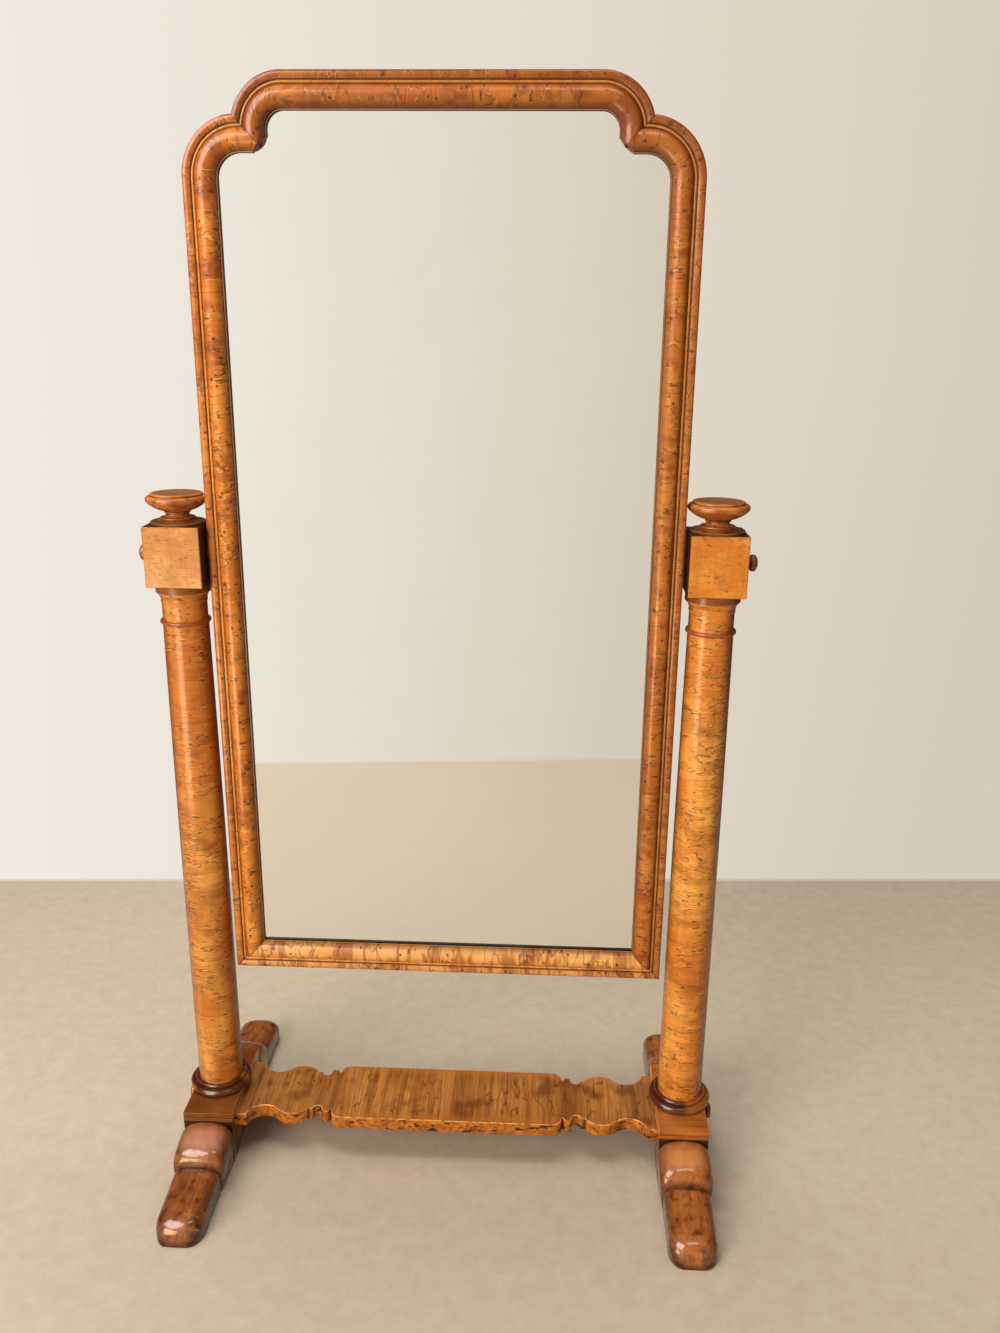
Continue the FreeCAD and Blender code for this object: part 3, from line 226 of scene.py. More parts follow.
# Plain golden maple block, planed and polished: pale, with fine brown dashes along the grain.
blockLayers = [
    lay("patch", (44, 44, 36), 0.42, 0.66, 0.7, "#E4A45C"),
    lay("patch", (20, 20, 14), 0.5, 0.7, 0.4, "#C6772E", detail=3.0, shift=(3, 3, 3)),
    lay("patch", (26, 26, 2.4), 0.5, 0.76, 0.5, "#A85C20", detail=3.0, warp=1.4, warpScale=0.2, bump=-0.05),
    lay("line", (13, 13, 10), 0.5, 0.05, 0.3, "#9A531C", detail=3.0, warp=1.0, bump=-0.05),
    lay("patch", (9, 9, 70), 0.48, 0.66, 0.3, "#B5691F", shift=(2, 8, 1)),
    lay("dot", (13, 13, 5), 0.34, 0.7, 0.75, "#7C3C13", bump=-0.08, warp=1.2,
        clump=lay("patch", (34, 34, 28), 0.41, 0.53, shift=(6, 6, 6))),
    lay("dot", (17, 17, 17), 0.11, 0.4, 0.85, "#54250D"),
    # darker along the rounded edges and corners
    lay("mark", "worn", 0.4, "#8E4E1E"),
    grimy,
]
blockTones = {
    "left": ("golden_maple_planed", "#CB823C", "#E4A45C", 0.4),
    "right": ("golden_maple_planed_warm", "#DE8228", "#F8A042", 0.38),
}
blockWood = {
    side: makeFinish(name, base, rough, polish, [{**blockLayers[0], "colour": light}, *blockLayers[1:]])
    for side, (name, base, light, rough) in blockTones.items()
}

# Amber maple, turned and polished: rings of fine scratches, dust in the dish and painted shade on the foot.
finialWood = makeFinish("amber_maple_turned", "#A45A26", 0.26, {**polish, "Coat Weight": 0.4}, [
    lay("patch", (30, 30, 14), 0.42, 0.64, 0.8, "#D58238"),
    lay("patch", (24, 24, 1.6), 0.48, 0.76, 0.5, "#6A2F0F", detail=3.0),
    lay("patch", (18, 18, 12), 0.54, 0.68, 0.6, "#5F290D", shift=(5, 5, 5)),
    lay("dot", (13, 13, 9), 0.2, 0.3, 0.9, "#301306"),
    lay("mark", "worn", 0.6, "#EA9E45"),
    lay("mark", "shade", 0.9, "#371507"),
    lay("mark", "dust", 0.85, "#7C5233", rough=0.3),
    grimy,
])

# Red-brown hardwood, shaped by hand and waxed to a high gloss: mottled, with dents and scuffs, painted light
# on the orange crowns, a painted sheen on the knees and painted shade along the rims and grooves.
footLayers = [
    lay("mark", "crown", 0.8, "#965224"),
    lay("patch", (30, 44, 26), 0.45, 0.64, 0.5, "#A65B24"),
    lay("patch", (4, 50, 4), 0.48, 0.72, 0.5, "#471E0C", detail=3.0),
    lay("patch", (14, 20, 14), 0.5, 0.66, 0.75, "#3F1909", detail=5.0, shift=(4, 4, 4), bump=-0.15),
    lay("patch", (11, 17, 11), 0.57, 0.7, 0.45, "#C67333", detail=4.0, shift=(8, 8, 8)),
    lay("line", (40, 26, 30), 0.5, 0.008, 0.6, "#DC9147", bump=-0.06,
        clump=lay("patch", (26, 26, 26), 0.55, 0.6, shift=(3, 3, 3))),
    lay("dot", (13, 15, 13), 0.2, 0.25, 0.85, "#210B04", bump=-0.3, warp=0.8),
    lay("patch", (18, 24, 18), 0.3, 0.7, bump=1.0),
    lay("mark", "worn", 0.6, "#C66F2C"),
    lay("mark", "knee", 0.75, "#B0704A"),
    lay("mark", "grime", 0.9, "#1C0B03", rough=0.15),
    lay("patch", (15, 24, 15), 0.35, 0.7, rough=0.2, shift=(9, 9, 9)),
]
footTones = {"left": ("#633218", "#9A572A", "#CC8E70"), "right": ("#723A16", "#C27236", "#DE9052")}
footWood = {
    side: makeFinish(f"red_brown_waxed_wood_{side}", base, 0.26, gloss, [
        {**footLayers[0], "colour": crown}, *footLayers[1:-3],
        {**footLayers[-3], "colour": knee}, *footLayers[-2:],
    ]) for side, (base, crown, knee) in footTones.items()
}

# The same wood, planed and polished on the plinths: calmer, with straight grain and rubbed edges.
plinthLayers = [
    lay("patch", (60, 90, 40), 0.42, 0.64, 0.6, "#CD752C"),
    lay("patch", (90, 5, 5), 0.48, 0.72, 0.5, "#54240D", detail=3.0),
    lay("dot", (16, 16, 13), 0.13, 0.25, 0.8, "#210B04", bump=-0.2),
    lay("mark", "worn", 0.7, "#E2984B"),
    lay("mark", "grime", 0.95, "#1A0A02", rough=0.15),
    lay("patch", (18, 24, 15), 0.35, 0.7, rough=0.2, shift=(9, 9, 9)),
]
plinthTones = {"left": ("#773F17", "#945121"), "right": ("#AD5F22", "#DA8737")}
plinthWood = {
    side: makeFinish(f"red_brown_planed_wood_{side}", base, 0.3, polish, [
        {**plinthLayers[0], "colour": light}, *plinthLayers[1:],
    ]) for side, (base, light) in plinthTones.items()
}

# Dark stained turning, polished: nearly black brown with rubbed red-brown crests and a bare orange side.
ringLayers = [
    lay("patch", (34, 34, 10), 0.45, 0.7, 0.7, "#6A2F13"),
    lay("patch", (20, 20, 2), 0.5, 0.8, 0.4, "#250E06", detail=3.0),
    lay("patch", (40, 40, 12), 0.6, 0.7, 0.7, "#AD5E24", shift=(5, 5, 5)),
    lay("mark", "worn", 0.5, "#8C451E"),
    lay("mark", "bare", 0.8, "#B5652A"),
    grimy,
]
ringWood = makeFinish("dark_stained_turned_wood", "#542411", 0.24, gloss, ringLayers)
neckWood = makeFinish("red_brown_turned_bead", "#9C4D1B", 0.28, polish, [
    {**ringLayers[0], "colour": "#BA682A"}, {**ringLayers[1], "colour": "#54230D"}, rubbed, grimy,
])

# Brown polished board: the grain runs from front to back in stripes and dark wavy lines, redder at the narrow
# necks, bright orange along the edges, duller and greyer towards the ends.
boardWood = makeFinish("brown_polished_board", "#C27E3C", 0.36, {**polish, "Coat Weight": 0.7}, [
    lay("patch", (80, 130, 60), 0.42, 0.6, 0.8, "#DA9448"),
    lay("patch", (15, 260, 30), 0.44, 0.62, 0.65, "#90501A"),
    lay("reach", 0.2, 0.31, 0.45, "#8E5D33", rough=0.15),
    lay("patch", (3, 130, 20), 0.48, 0.7, 0.55, "#5D2D11", detail=3.0, bump=-0.06),
    lay("patch", (44, 60, 40), 0.54, 0.68, 0.65, "#663115", shift=(6, 6, 6)),
    lay("line", (22, 420, 60), 0.5, 0.03, 0.4, "#5A2C10", detail=1.0, bump=-0.04),
    lay("line", (17, 75, 60), 0.52, 0.03, 0.75, "#4C220C", warp=0.5, bump=-0.06,
        clump=lay("patch", (80, 60, 60), 0.42, 0.54, shift=(2, 5, 1))),
    lay("reach", 0.034, 0.008, 0.5, "#7C401E", level=0.2),
    lay("reach", 0.046, 0.058, 0.45, "#CE7426", axis=1),
    lay("dot", (30, 20, 20), 0.1, 0.3, 0.85, "#2A1206"),
])

# Burr edge of the board, sawn and polished: bright orange with dark brown spots.
burrWood = makeFinish("burr_edge_polished", "#B8671D", 0.32, polish, [
    lay("patch", (16, 16, 9), 0.42, 0.62, 0.75, "#DC8A2E", detail=3.0),
    lay("patch", (7, 7, 5), 0.5, 0.64, 0.8, "#783910", detail=3.0, bump=-0.15),
    lay("patch", (18, 18, 8), 0.58, 0.65, 0.9, "#2B1306", shift=(4, 4, 4), bump=-0.2),
    grimy,
])

# Arris rubbed through the polish: a thin pale line of bare wood, broken in places.
arrisWood = makeFinish("rubbed_bare_arris", "#EAAA5E", 0.5, dry, [
    lay("patch", (11, 11, 11), 0.48, 0.6, 0.85, "#8A4C1A", detail=3.0),
])

# Blackened lip behind the glass line: dull, nearly black paint with thin places.
lipPaint = makeFinish("blackened_wood", "#1A110B", 0.6, dry, [
    lay("patch", (20, 20, 20), 0.5, 0.75, 0.5, "#3A2415"),
])

# Unpolished maple behind the frame: dry, brown with age, with saw marks across it.
backWood = makeFinish("aged_maple_unpolished", "#7E5733", 0.7, dry, [
    lay("patch", (60, 60, 90), 0.4, 0.68, 0.7, "#9A734A"),
    lay("patch", (4, 4, 60), 0.5, 0.75, 0.5, "#5C3B20", detail=3.0, bump=-0.08),
    lay("patch", (40, 40, 2.4), 0.5, 0.8, 0.2, "#4E321C", bump=-0.1),
])

# Cut ends, stained dark and left without polish. The blocks' inner sides, tops and bottoms are dark too; on
# the inner sides, which face the frame, that dark is painted shade.
endLayers = [
    lay("patch", (14, 14, 14), 0.42, 0.66, 0.7, "#6E3510", detail=3.0),
    lay("patch", (3, 3, 3), 0.5, 0.76, 0.5, "#2A1206"),
]
endGrain = makeFinish("stained_end_grain", "#86441A", 0.55, dry, endLayers)
innerSide = makeFinish("block_side_painted_shade", "#4A2009", 0.5, dry, endLayers[1:])

# Pine boards, planed and left dry: straight brown grain, a few knots, grey with dust.
pineWood = makeFinish("aged_pine_planed", "#A87C4C", 0.72, dry, [
    lay("patch", (7, 7, 420), 0.42, 0.62, 0.6, "#7B5431", detail=3.0, bump=-0.1),
    lay("patch", (1.8, 1.8, 120), 0.5, 0.78, 0.5, "#55371F", bump=-0.06),
    lay("dot", (110, 110, 240), 0.1, 0.4, 0.8, "#3F2412"),
    lay("patch", (120, 120, 200), 0.45, 0.7, 0.4, "#A08B72", shift=(3, 3, 3)),
])

# Knob wood: turned, dark brown, polished by hands at its crown.
knobWood = makeFinish("brown_turned_knob_wood", "#84572C", 0.42, polish, [
    lay("patch", (1.6, 9, 9), 0.5, 0.75, 0.6, "#4A230E", bump=-0.05),
    lay("patch", (9, 9, 9), 0.45, 0.68, 0.6, "#A5652C"),
    lay("mark", "worn", 0.5, "#B0753C"),
    grimy,
])

# Brass, lacquered and aged: yellow metal dulled to brown in patches, with fine turning rings.
metal = {"Metallic": 1.0}
brass = makeFinish("aged_brass", "#946A2C", 0.36, metal, [
    lay("patch", (6, 6, 6), 0.45, 0.68, 0.7, "#6B4B1E", rough=0.25, detail=3.0),
    lay("patch", (0.8, 8, 8), 0.5, 0.8, 0.3, "#54391A", bump=-0.02),
    lay("mark", "worn", 0.5, "#C89A4C"),
    lay("mark", "grime", 0.8, "#2A1A0A", rough=0.25),
])

# Steel screws, oiled and dulled: grey with brown rust freckles.
steel = makeFinish("dull_steel", "#8B8A86", 0.4, metal, [
    lay("patch", (4, 4, 4), 0.5, 0.68, 0.8, "#5A3E2B", rough=0.3, detail=3.0, bump=0.03),
])

# Leather washer, pressed: matt brown with a fine pebble.
leather = makeFinish("brown_leather_pressed", "#5C3520", 0.75, dry, [
    lay("patch", (1.2, 1.2, 1.2), 0.4, 0.7, 0.5, "#3A2012", bump=0.08),
])

# Silvered plate glass: a clear, even reflection with a faint grey-green cast in clouds.
mirrorPlate = makeFinish("silvered_plate_glass", "#FDFEFD", 0.0, metal, [
    lay("patch", (160, 160, 240), 0.35, 0.75, 0.4, "#FBFCFA"),
    lay("patch", (60, 60, 60), 0.5, 0.8, 0.3, "#F6F8F5"),
])
print("finishes made:", len(bpy.data.materials))


# Surfaces
# A run of corners (a, b): a third number turns the stretch before a corner into an arc that leaves its chord
# by that much, to the right of the way drawn: points are mid + along * R sin(s) + out * R (cos(s) - cos(h)).
def traceRun(corners, steps):
    runs = [np.array([corners[0][:2]], float)]
    for before, corner in zip(corners, corners[1:]):
        start, stop = np.array(before[:2], float), np.array(corner[:2], float)
        if len(corner) == 2:
            runs.append(stop[None])
            continue
        chord = np.linalg.norm(stop - start)
        half = 2 * np.arctan(2 * abs(corner[2]) / chord)
        radius = chord / (2 * np.sin(half))
        swing = np.linspace(-half, half, steps + 1)[1:, None]
        along = (stop - start) / chord
        out = np.array([along[1], -along[0]]) * np.sign(corner[2])
        onChord = (start + stop) / 2 + along * radius * np.sin(swing)
        runs.append(onChord + out * radius * (np.cos(swing) - np.cos(half)))
    return np.concatenate(runs)


# Points from their coordinates, each spread over the same grid.
def asPoints(*parts):
    return np.stack(np.broadcast_arrays(*parts), -1)


# Adds a point a short gap from each end of every long stretch, so that marks at a corner stay near it.
def guardRun(run, gap, closed):
    ahead = np.roll(run, -1, 0)
    span = ahead - run
    length = np.linalg.norm(span, axis=1, keepdims=True)
    step = span / np.maximum(length, 1e-9) * gap
    keep = np.repeat(length > 3 * gap, 3, 1)
    keep[:, 0] = True
    if not closed:
        keep[-1, 1:] = False
    return np.stack([run, run + step, ahead - step], 1).reshape(-1, 2)[keep.ravel()]


wearTurn = {"wornFrom": 22, "grimeFrom": 18, "span": 30}  # degrees


# Turn at each point of a run, outside on its right: rubbed at outer corners, grime and painted shade at inner
# ones.
def cornerMarks(run, closed):
    back, ahead = run - np.roll(run, 1, 0), np.roll(run, -1, 0) - run
    cross = back[:, 0] * ahead[:, 1] - back[:, 1] * ahead[:, 0]
    turn = np.degrees(np.arctan2(cross, (back * ahead).sum(1)))
    if not closed:
        turn[[0, -1]] = 0
    worn = np.clip((turn - wearTurn["wornFrom"]) / wearTurn["span"], 0, 1)
    return {"worn": worn, "grime": np.clip((-turn - wearTurn["grimeFrom"]) / wearTurn["span"], 0, 1)}


# A piece is a grid of points (mm) whose columns close round on themselves, with a flat cap at each end.
def tubePiece(name, grid, finishes, body, zones=0, caps=None, capZone=0, uv=None, marks=None, sharp=38):
    rows, cols = grid.shape[:2]
    index = np.arange(rows * cols).reshape(rows, cols)
    ahead = np.roll(index, -1, 1)
    quads = np.stack([index[:-1], ahead[:-1], ahead[1:], index[1:]], -1).reshape(-1, 4)
    startCaps, endCaps = caps or ([np.arange(cols)], [np.arange(cols)])
    capFaces = [index[0][run].tolist() for run in startCaps] + [index[-1][run].tolist() for run in endCaps]
    mesh = bpy.data.meshes.new(name)
    mesh.from_pydata((grid.reshape(-1, 3) / 1000).tolist(), [], quads.tolist() + capFaces)
    for finish in finishes:
        mesh.materials.append(finish)
    zone = np.broadcast_to(zones, (rows - 1, cols)).ravel()
    mesh.polygons.foreach_set("material_index", np.append(zone, [capZone] * len(capFaces)).astype(np.int32))
    if uv is not None:
        corner = np.empty(len(mesh.loops), np.int32)
        mesh.loops.foreach_get("vertex_index", corner)
        layer = mesh.uv_layers.new(name="grain")
        layer.data.foreach_set("uv", uv.reshape(-1, 2)[corner].astype(np.float32).ravel())
    for mark, values in (marks or {}).items():
        spread = np.broadcast_to(values, (rows, cols)).astype(np.float32).ravel()
        mesh.attributes.new(mark, "FLOAT", "POINT").data.foreach_set("value", np.ascontiguousarray(spread))
    shell = bmesh.new()
    shell.from_mesh(mesh)
    bmesh.ops.recalc_face_normals(shell, faces=shell.faces[:])
    shell.to_mesh(mesh)
    shell.free()
    smooth = np.ones(len(mesh.polygons), bool)
    smooth[len(quads):] = False
    mesh.shade_smooth()
    mesh.set_sharp_from_angle(angle=math.radians(sharp))
    mesh.polygons.foreach_set("use_smooth", smooth)
    mesh.update()
    piece = bpy.data.objects.new(name, mesh)
    scene.collection.objects.link(piece)
    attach(piece, body)
    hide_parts(name)


# A turned piece: each (radius, distance) of the profile goes round the axis, x = r cos a, y = r sin a. A rule
# adds marks by radius, distance and degrees from the front.
def turnedPiece(name, profile, centre, finish, body, axis=2, way=1, around=96, rule=None, gap=1.0):
    run = guardRun(profile, gap, False)
    angle = np.linspace(0, 2 * np.pi, around, endpoint=False)
    across, along = run[:, :1], run[:, 1:]
    parts = [way * along, across * np.cos(angle), across * np.sin(angle)]
    grid = asPoints(*parts[-axis:], *parts[:-axis])
    marks = {mark: values[:, None] for mark, values in cornerMarks(run, False).items()}
    fromFront = np.degrees((angle + 1.5 * np.pi) % (2 * np.pi) - np.pi)[None]
    marks.update(rule(across, along, fromFront) if rule else {})
    tubePiece(name, grid + np.array(centre), [finish], body, marks=marks)


# Mirror frame
frameSizes = {
    "halfWidth": 338.8, "bottom": 328.5, "top": 1624.5, "shoulder": 1574.5, "headHalf": 271.5,
    "stileArc": 76.5, "topArc": 68.0, "blunt": 35.5, "jointRow": 2.4,
    "moulding": [
        (0, 18), (0, -18), (10.2, -18, 1.5), (10.2, -16), (11.8, -16), (15.4, -16, 1.6), (43, -12.5, 12),
        (45, -12.5), (45, -8), (37, -8), (37, 8.1), (35.5, 8.1), (27, 8.1), (27, 18),
    ],
    "arcSteps": 26, "guard": 0.7, "faceDepth": -12, "sideInset": 0.01, "sideDepth": -17.5,
    "lipFrom": (44.9, -12.45), "backFrom": (0.1, -7.99),  # inset and depth past which a zone starts
    "bead": (11.9, 15.3), "beadDepth": -15.9, "beadHighlight": 0.6, "grimeShare": 0.7,
    "rows": {"rise": 26, "stileBend": 44, "topBend": 40, "level": 9, "across": 14},
    "bendLength": 110, "leafInset": 20,  # about a bend's length, and the inset at which a leaf is measured
    "leafOffsets": {"left": 0.0, "right": 3.37, "top": 7.13, "bottom": 11.91},
    # Painted shade: deeper on the right stile and top rail, and along the arcs.
    "shades": {"left": 0.0, "right": 0.38, "top": 0.47, "bottom": 0.0}, "sideShade": 0.3,
    "arcShade": 0.26, "stileArch": (1490, 50), "topArch": (205, 40),  # where it starts, and over how much
    # Painted shade across the section, by inset: outer edge, grooves and the slope by the glass.
    "paintedRelief": [
        (0, 0.9), (1.2, 0.45), (3, 0.2), (9, 0.15), (10.2, 0.8), (11.2, 0.8), (12, 0.1), (15.2, 0.1),
        (15.8, 0.8), (17.4, 0.5), (20, 0.1), (27, 0), (35, 0), (40, 0.25), (43, 0.6),
    ],
}


# Moulding section with a point where the blunted cusp starts; zones are veneer, blackened lip and bare back.
def mouldingRun():
    f, blunt = frameSizes, frameSizes["blunt"]
    run = guardRun(traceRun(f["moulding"], f["arcSteps"]), f["guard"], True)
    crosses = (run[:-1, 0] < blunt) & (run[1:, 0] >= blunt)
    front = np.flatnonzero(crosses & (run[:-1, 1] < f["faceDepth"]))[0]
    share = (blunt - run[front, 0]) / (run[front + 1, 0] - run[front, 0])
    tip = run[front] + (run[front + 1] - run[front]) * share
    run = np.insert(run, front + 1, tip, 0)
    middle = (run + np.roll(run, -1, 0)) / 2
    lip, back = (np.all(middle > f[key], axis=1) for key in ("lipFrom", "backFrom"))
    zones = np.where(back, 2, np.where(lip, 1, 0))
    behind = np.flatnonzero((np.abs(run[:, 0] - blunt) < 1e-6) & (run[:, 1] > 0))[0]
    return run, zones, front + 1, behind


mould, mouldZones, tipFront, tipBehind = mouldingRun()
inset, depth = mould[:, 0], mould[:, 1]
girth = np.concatenate([[0], np.cumsum(np.linalg.norm(np.diff(mould, axis=0), axis=1))])
tipCap = np.arange(tipFront, tipBehind + 1)
mitreCap = np.concatenate([np.arange(tipFront + 1), np.arange(tipBehind, len(mould))])
mouldMarks = cornerMarks(mould, True)
# A painted highlight along the bead, on top of the rubbed corners.
onBead = (inset > frameSizes["bead"][0]) & (inset < frameSizes["bead"][1]) & (depth < frameSizes["beadDepth"])
mouldMarks["worn"] = np.maximum(mouldMarks["worn"], onBead * frameSizes["beadHighlight"])
mouldMarks["grime"] = mouldMarks["grime"] * frameSizes["grimeShare"]


# Places along a stretch of rows, with a row close to an end that has a dark mitre line.
def rowShares(count, length, low=False, high=False):
    gap = frameSizes["jointRow"] / length
    shares = np.linspace(0, 1, count)
    shares = np.insert(shares, 1, gap) if low else shares
    return (np.insert(shares, -1, 1 - gap) if high else shares)[:, None]


# A bend from its straight end: at inset u an arc, (R - u) cos(s) and (R - u) sin(s) from its centre, then a
# straight run on to the mitre at the cusp. Also gives the way gone, as the leaves measure it.
def bendSweep(arc, centre, cusp, lean, rows):
    f = frameSizes
    radius = arc - inset
    onArc = radius >= lean
    reach = np.arcsin(np.clip(lean / (np.sqrt(2) * radius), 0, 1))
    swing = np.where(onArc, np.pi / 4 + reach, np.pi / 2)
    flat = np.where(onArc, 0, centre - np.maximum(cusp - inset, cusp - 2 * f["blunt"] + inset))
    gone = rowShares(rows, f["bendLength"], high=True) * (radius * swing + flat)
    angle = np.minimum(gone / radius, swing)
    run = np.maximum(gone - radius * swing, 0)
    return radius * np.cos(angle) - run, radius * np.sin(angle), angle * (arc - f["leafInset"]) + run


# Right-hand stile: straight up at x = W - u, then the bend, whose last run is level.
def stileSweep():
    f, arc, rows = frameSizes, frameSizes["stileArc"], frameSizes["rows"]
    centreX, centreZ = f["halfWidth"] - arc, f["shoulder"] - arc
    low = f["bottom"] + inset
    rise = low + (centreZ - low) * rowShares(rows["rise"], centreZ - f["bottom"], low=True)
    straight = asPoints(f["halfWidth"] - inset, rise)
    lean = f["halfWidth"] - f["headHalf"]
    x, z, gone = bendSweep(arc, centreX, f["headHalf"], lean, rows["stileBend"])
    bend = asPoints(centreX + x, centreZ + z)
    return np.concatenate([straight, bend[1:]]), np.concatenate([rise, centreZ + gone[1:]])


# Right half of the top rail: the same bend turned over and taken from the cusp, then level to the middle.
def topSweep():
    f, arc, rows = frameSizes, frameSizes["topArc"], frameSizes["rows"]
    centreX, centreZ = f["headHalf"] - arc, f["top"] - arc
    z, x, gone = bendSweep(arc, centreZ, f["shoulder"], f["top"] - f["shoulder"], rows["topBend"])
    bend = asPoints(centreX + x, centreZ + z)[::-1]
    along = (gone[-1] - gone)[::-1]
    middle = rowShares(rows["level"], centreX)[1:]
    level = asPoints(centreX * (1 - middle), f["top"] - inset)
    levelAlong = along[-1].mean() + centreX * middle + 0 * inset
    return np.concatenate([bend, level]), np.concatenate([along, levelAlong])


# A member carries the moulding along its path: depth runs along y, and the grain's map is (way along, girth).
def frameMember(name, path, along, member, starts, ends, arch):
    f = frameSizes
    grid = asPoints(path[..., 0], depth, path[..., 1])
    uv = asPoints(along / 1000 + f["leafOffsets"][member], girth / 1000)
    marks = {mark: np.tile(values, (len(path), 1)) for mark, values in mouldMarks.items()}
    mitre = np.ones(len(mould))
    mitre[tipCap] = 0.0 if len(starts) + len(ends) > 2 else 1.0  # a blunted cusp has no joint
    marks["grime"][[0, -1]] = mitre
    # painted shade across the section, lighter on the outer side
    paintedRelief = np.interp(inset, *np.array(f["paintedRelief"]).T)
    paintedRelief = np.where((inset < f["sideInset"]) & (depth > f["sideDepth"]), f["sideShade"], paintedRelief)
    marks["shade"] = f["shades"][member] + f["arcShade"] * arch[:, None] + paintedRelief[None]
    finishes = [stripedVeneer if member == "bottom" else veneer, lipPaint, backWood, endGrain]
    tubePiece(name, grid, finishes, "mirror", zones=mouldZones,
              caps=(starts, ends), capZone=3, uv=uv, marks=marks)


def archShare(places, arch):  # none before an arc starts, all of it further on
    return np.clip((places - arch[0]) / arch[1], 0, 1)


wholeCap, cuspCaps = [np.arange(len(mould))], [mitreCap, tipCap]
stilePath, stileAlong = stileSweep()
stileArch = archShare(stilePath[:, 0, 1], frameSizes["stileArch"])
for side, way in sides.items():
    frameMember(f"frame_{side}_stile", stilePath * (way, 1), stileAlong, side, wholeCap, cuspCaps, stileArch)
halfPath, halfAlong = topSweep()
otherPath, otherAlong = halfPath[-2::-1] * (-1, 1), 2 * halfAlong[-1:] - halfAlong[-2::-1]
topPath, topAlong = np.concatenate([halfPath, otherPath]), np.concatenate([halfAlong, otherAlong])
topArch = archShare(np.abs(topPath[:, 0, 0]), frameSizes["topArch"])
frameMember("frame_top_rail", topPath, topAlong, "top", cuspCaps, cuspCaps, topArch)
acrossShares = rowShares(frameSizes["rows"]["across"], 2 * frameSizes["halfWidth"], low=True, high=True)
acrossX = (2 * acrossShares - 1) * (frameSizes["halfWidth"] - inset)
bottomPath = asPoints(acrossX, frameSizes["bottom"] + inset)
frameMember("frame_bottom_rail", bottomPath, acrossX, "bottom", wholeCap, wholeCap, np.zeros(len(acrossX)))
print("mirror frame made")

# Turned pieces of the stand
standSizes = {
    "spacing": 385.0, "pivot": 1000.0, "blockHalf": 43.8,
    "plinthTop": 94.0, "shaftLow": 109.0, "shaftHigh": 896.8, "neckHigh": 903.2,
}
turnings = {
    "column": {
        "low": standSizes["shaftLow"], "finish": columnWood, "slot": "figured_maple_column", "steps": 30,
        "profile": [(35.5, 0), (33.0, standSizes["shaftHigh"] - standSizes["shaftLow"], 1.0)],
        "level": {"left": 0.2, "right": 0.0}, "litCentre": {"left": 12, "right": -16},  # degrees from the front
        "away": (40, 84, 95, 145), "deep": (0, 0.98, 0.98, 0.3),
    },
    "base_ring": {
        "low": standSizes["plinthTop"], "finish": ringWood, "slot": "dark_turned_wood", "steps": 16,
        "profile": [(46.0, 0), (46.0, 12, 4.4), (39.9, 12), (39.9, 18, 1.6), (35.7, 18)],
        "bareSide": "right", "bareFrom": (2, 16, 85, 120), "bare": (0, 0.9, 0.9, 0),
    },
    "neck_ring": {
        "low": standSizes["shaftHigh"], "finish": neckWood, "slot": "dark_turned_wood", "steps": 12,
        "profile": [(31.0, 0), (33.8, 0), (33.8, 6.4, 2.8), (31.0, 6.4)],
    },
    "capital": {
        "low": standSizes["neckHigh"], "finish": columnWood, "slot": "figured_maple_column", "steps": 12,
        "profile": [(32.5, 0), (32.5, 25), (33.6, 27), (38, 40, -2.0), (38, 41), (39.6, 42), (39.6, 53)],
        "shadeFrom": 41.5, "shade": 0.9, "grimeRadius": 39, "grime": 0.25,
    },
    "finial": {
        "low": standSizes["pivot"] + standSizes["blockHalf"], "finish": finialWood,
        "slot": "amber_turned_maple", "steps": 14,
        "dustFrom": 42.5, "dustRadius": 33, "footShade": 1.3, "footFade": 5,
        "profile": [
            (39.4, 0), (39.4, 2.6), (37.4, 4), (26, 6, -1), (23.6, 6.4), (23.6, 9.6, 1.5), (21, 10),
            (16.4, 15, -1.5), (17.4, 15.4), (17.4, 17.4, 1), (16.8, 17.8), (19.4, 18.6), (42.4, 31.4, 2),
            (38.6, 40, 3), (36.8, 40.4), (36.6, 41), (37, 41.3), (35.2, 43.5, 0.7), (34, 43.8), (32.8, 43.1),
            (20, 42.8), (6, 42.7),
        ],
    },
}


# Painted shade on the sides, by the degrees away from the lit centre, and a little of it behind; the left
# shaft is darker all over.
def columnMarks(side, radius, height, fromFront):
    t = turnings["column"]
    away = np.abs(fromFront - t["litCentre"][side])
    return {"shade": t["level"][side] + np.interp(away, t["away"], t["deep"])}


# The dark under the block is painted shade.
def capitalMarks(side, radius, height, fromFront):  # as the shaft, and dark under the block
    t = turnings["capital"]
    shaft = columnMarks(side, radius, height, fromFront)["shade"]
    shade = np.maximum((height > t["shadeFrom"]) * t["shade"], shaft)
    return {"shade": shade, "grime": (radius > t["grimeRadius"]) * t["grime"]}


# The foot's dark is painted shade under the bowl.
def finialMarks(side, radius, height, fromFront):  # dust lies in the dish, and the foot is dark
    t = turnings["finial"]
    dust = (height > t["dustFrom"]) & (radius < t["dustRadius"])
    return {"dust": dust * 1.0, "shade": np.clip(t["footShade"] - height / t["footFade"], 0, 1)}


def ringMarks(side, radius, height, fromFront):  # the stain is rubbed off one side
    t = turnings["base_ring"]
    return {"bare": (side == t["bareSide"]) * np.interp(fromFront, t["bareFrom"], t["bare"])}


turningRules = {"column": columnMarks, "capital": capitalMarks, "finial": finialMarks, "base_ring": ringMarks}
for side, way in sides.items():
    for piece, turning in turnings.items():
        rule = partial(turningRules[piece], side) if piece in turningRules else None
        profile = traceRun(turning["profile"], turning["steps"])
        centre = (way * standSizes["spacing"], 0, turning["low"])
        finish, slot = turning["finish"], turning["slot"]
        turnedPiece(f"{side}_{piece}", profile, centre, finish, "stand", rule=rule)

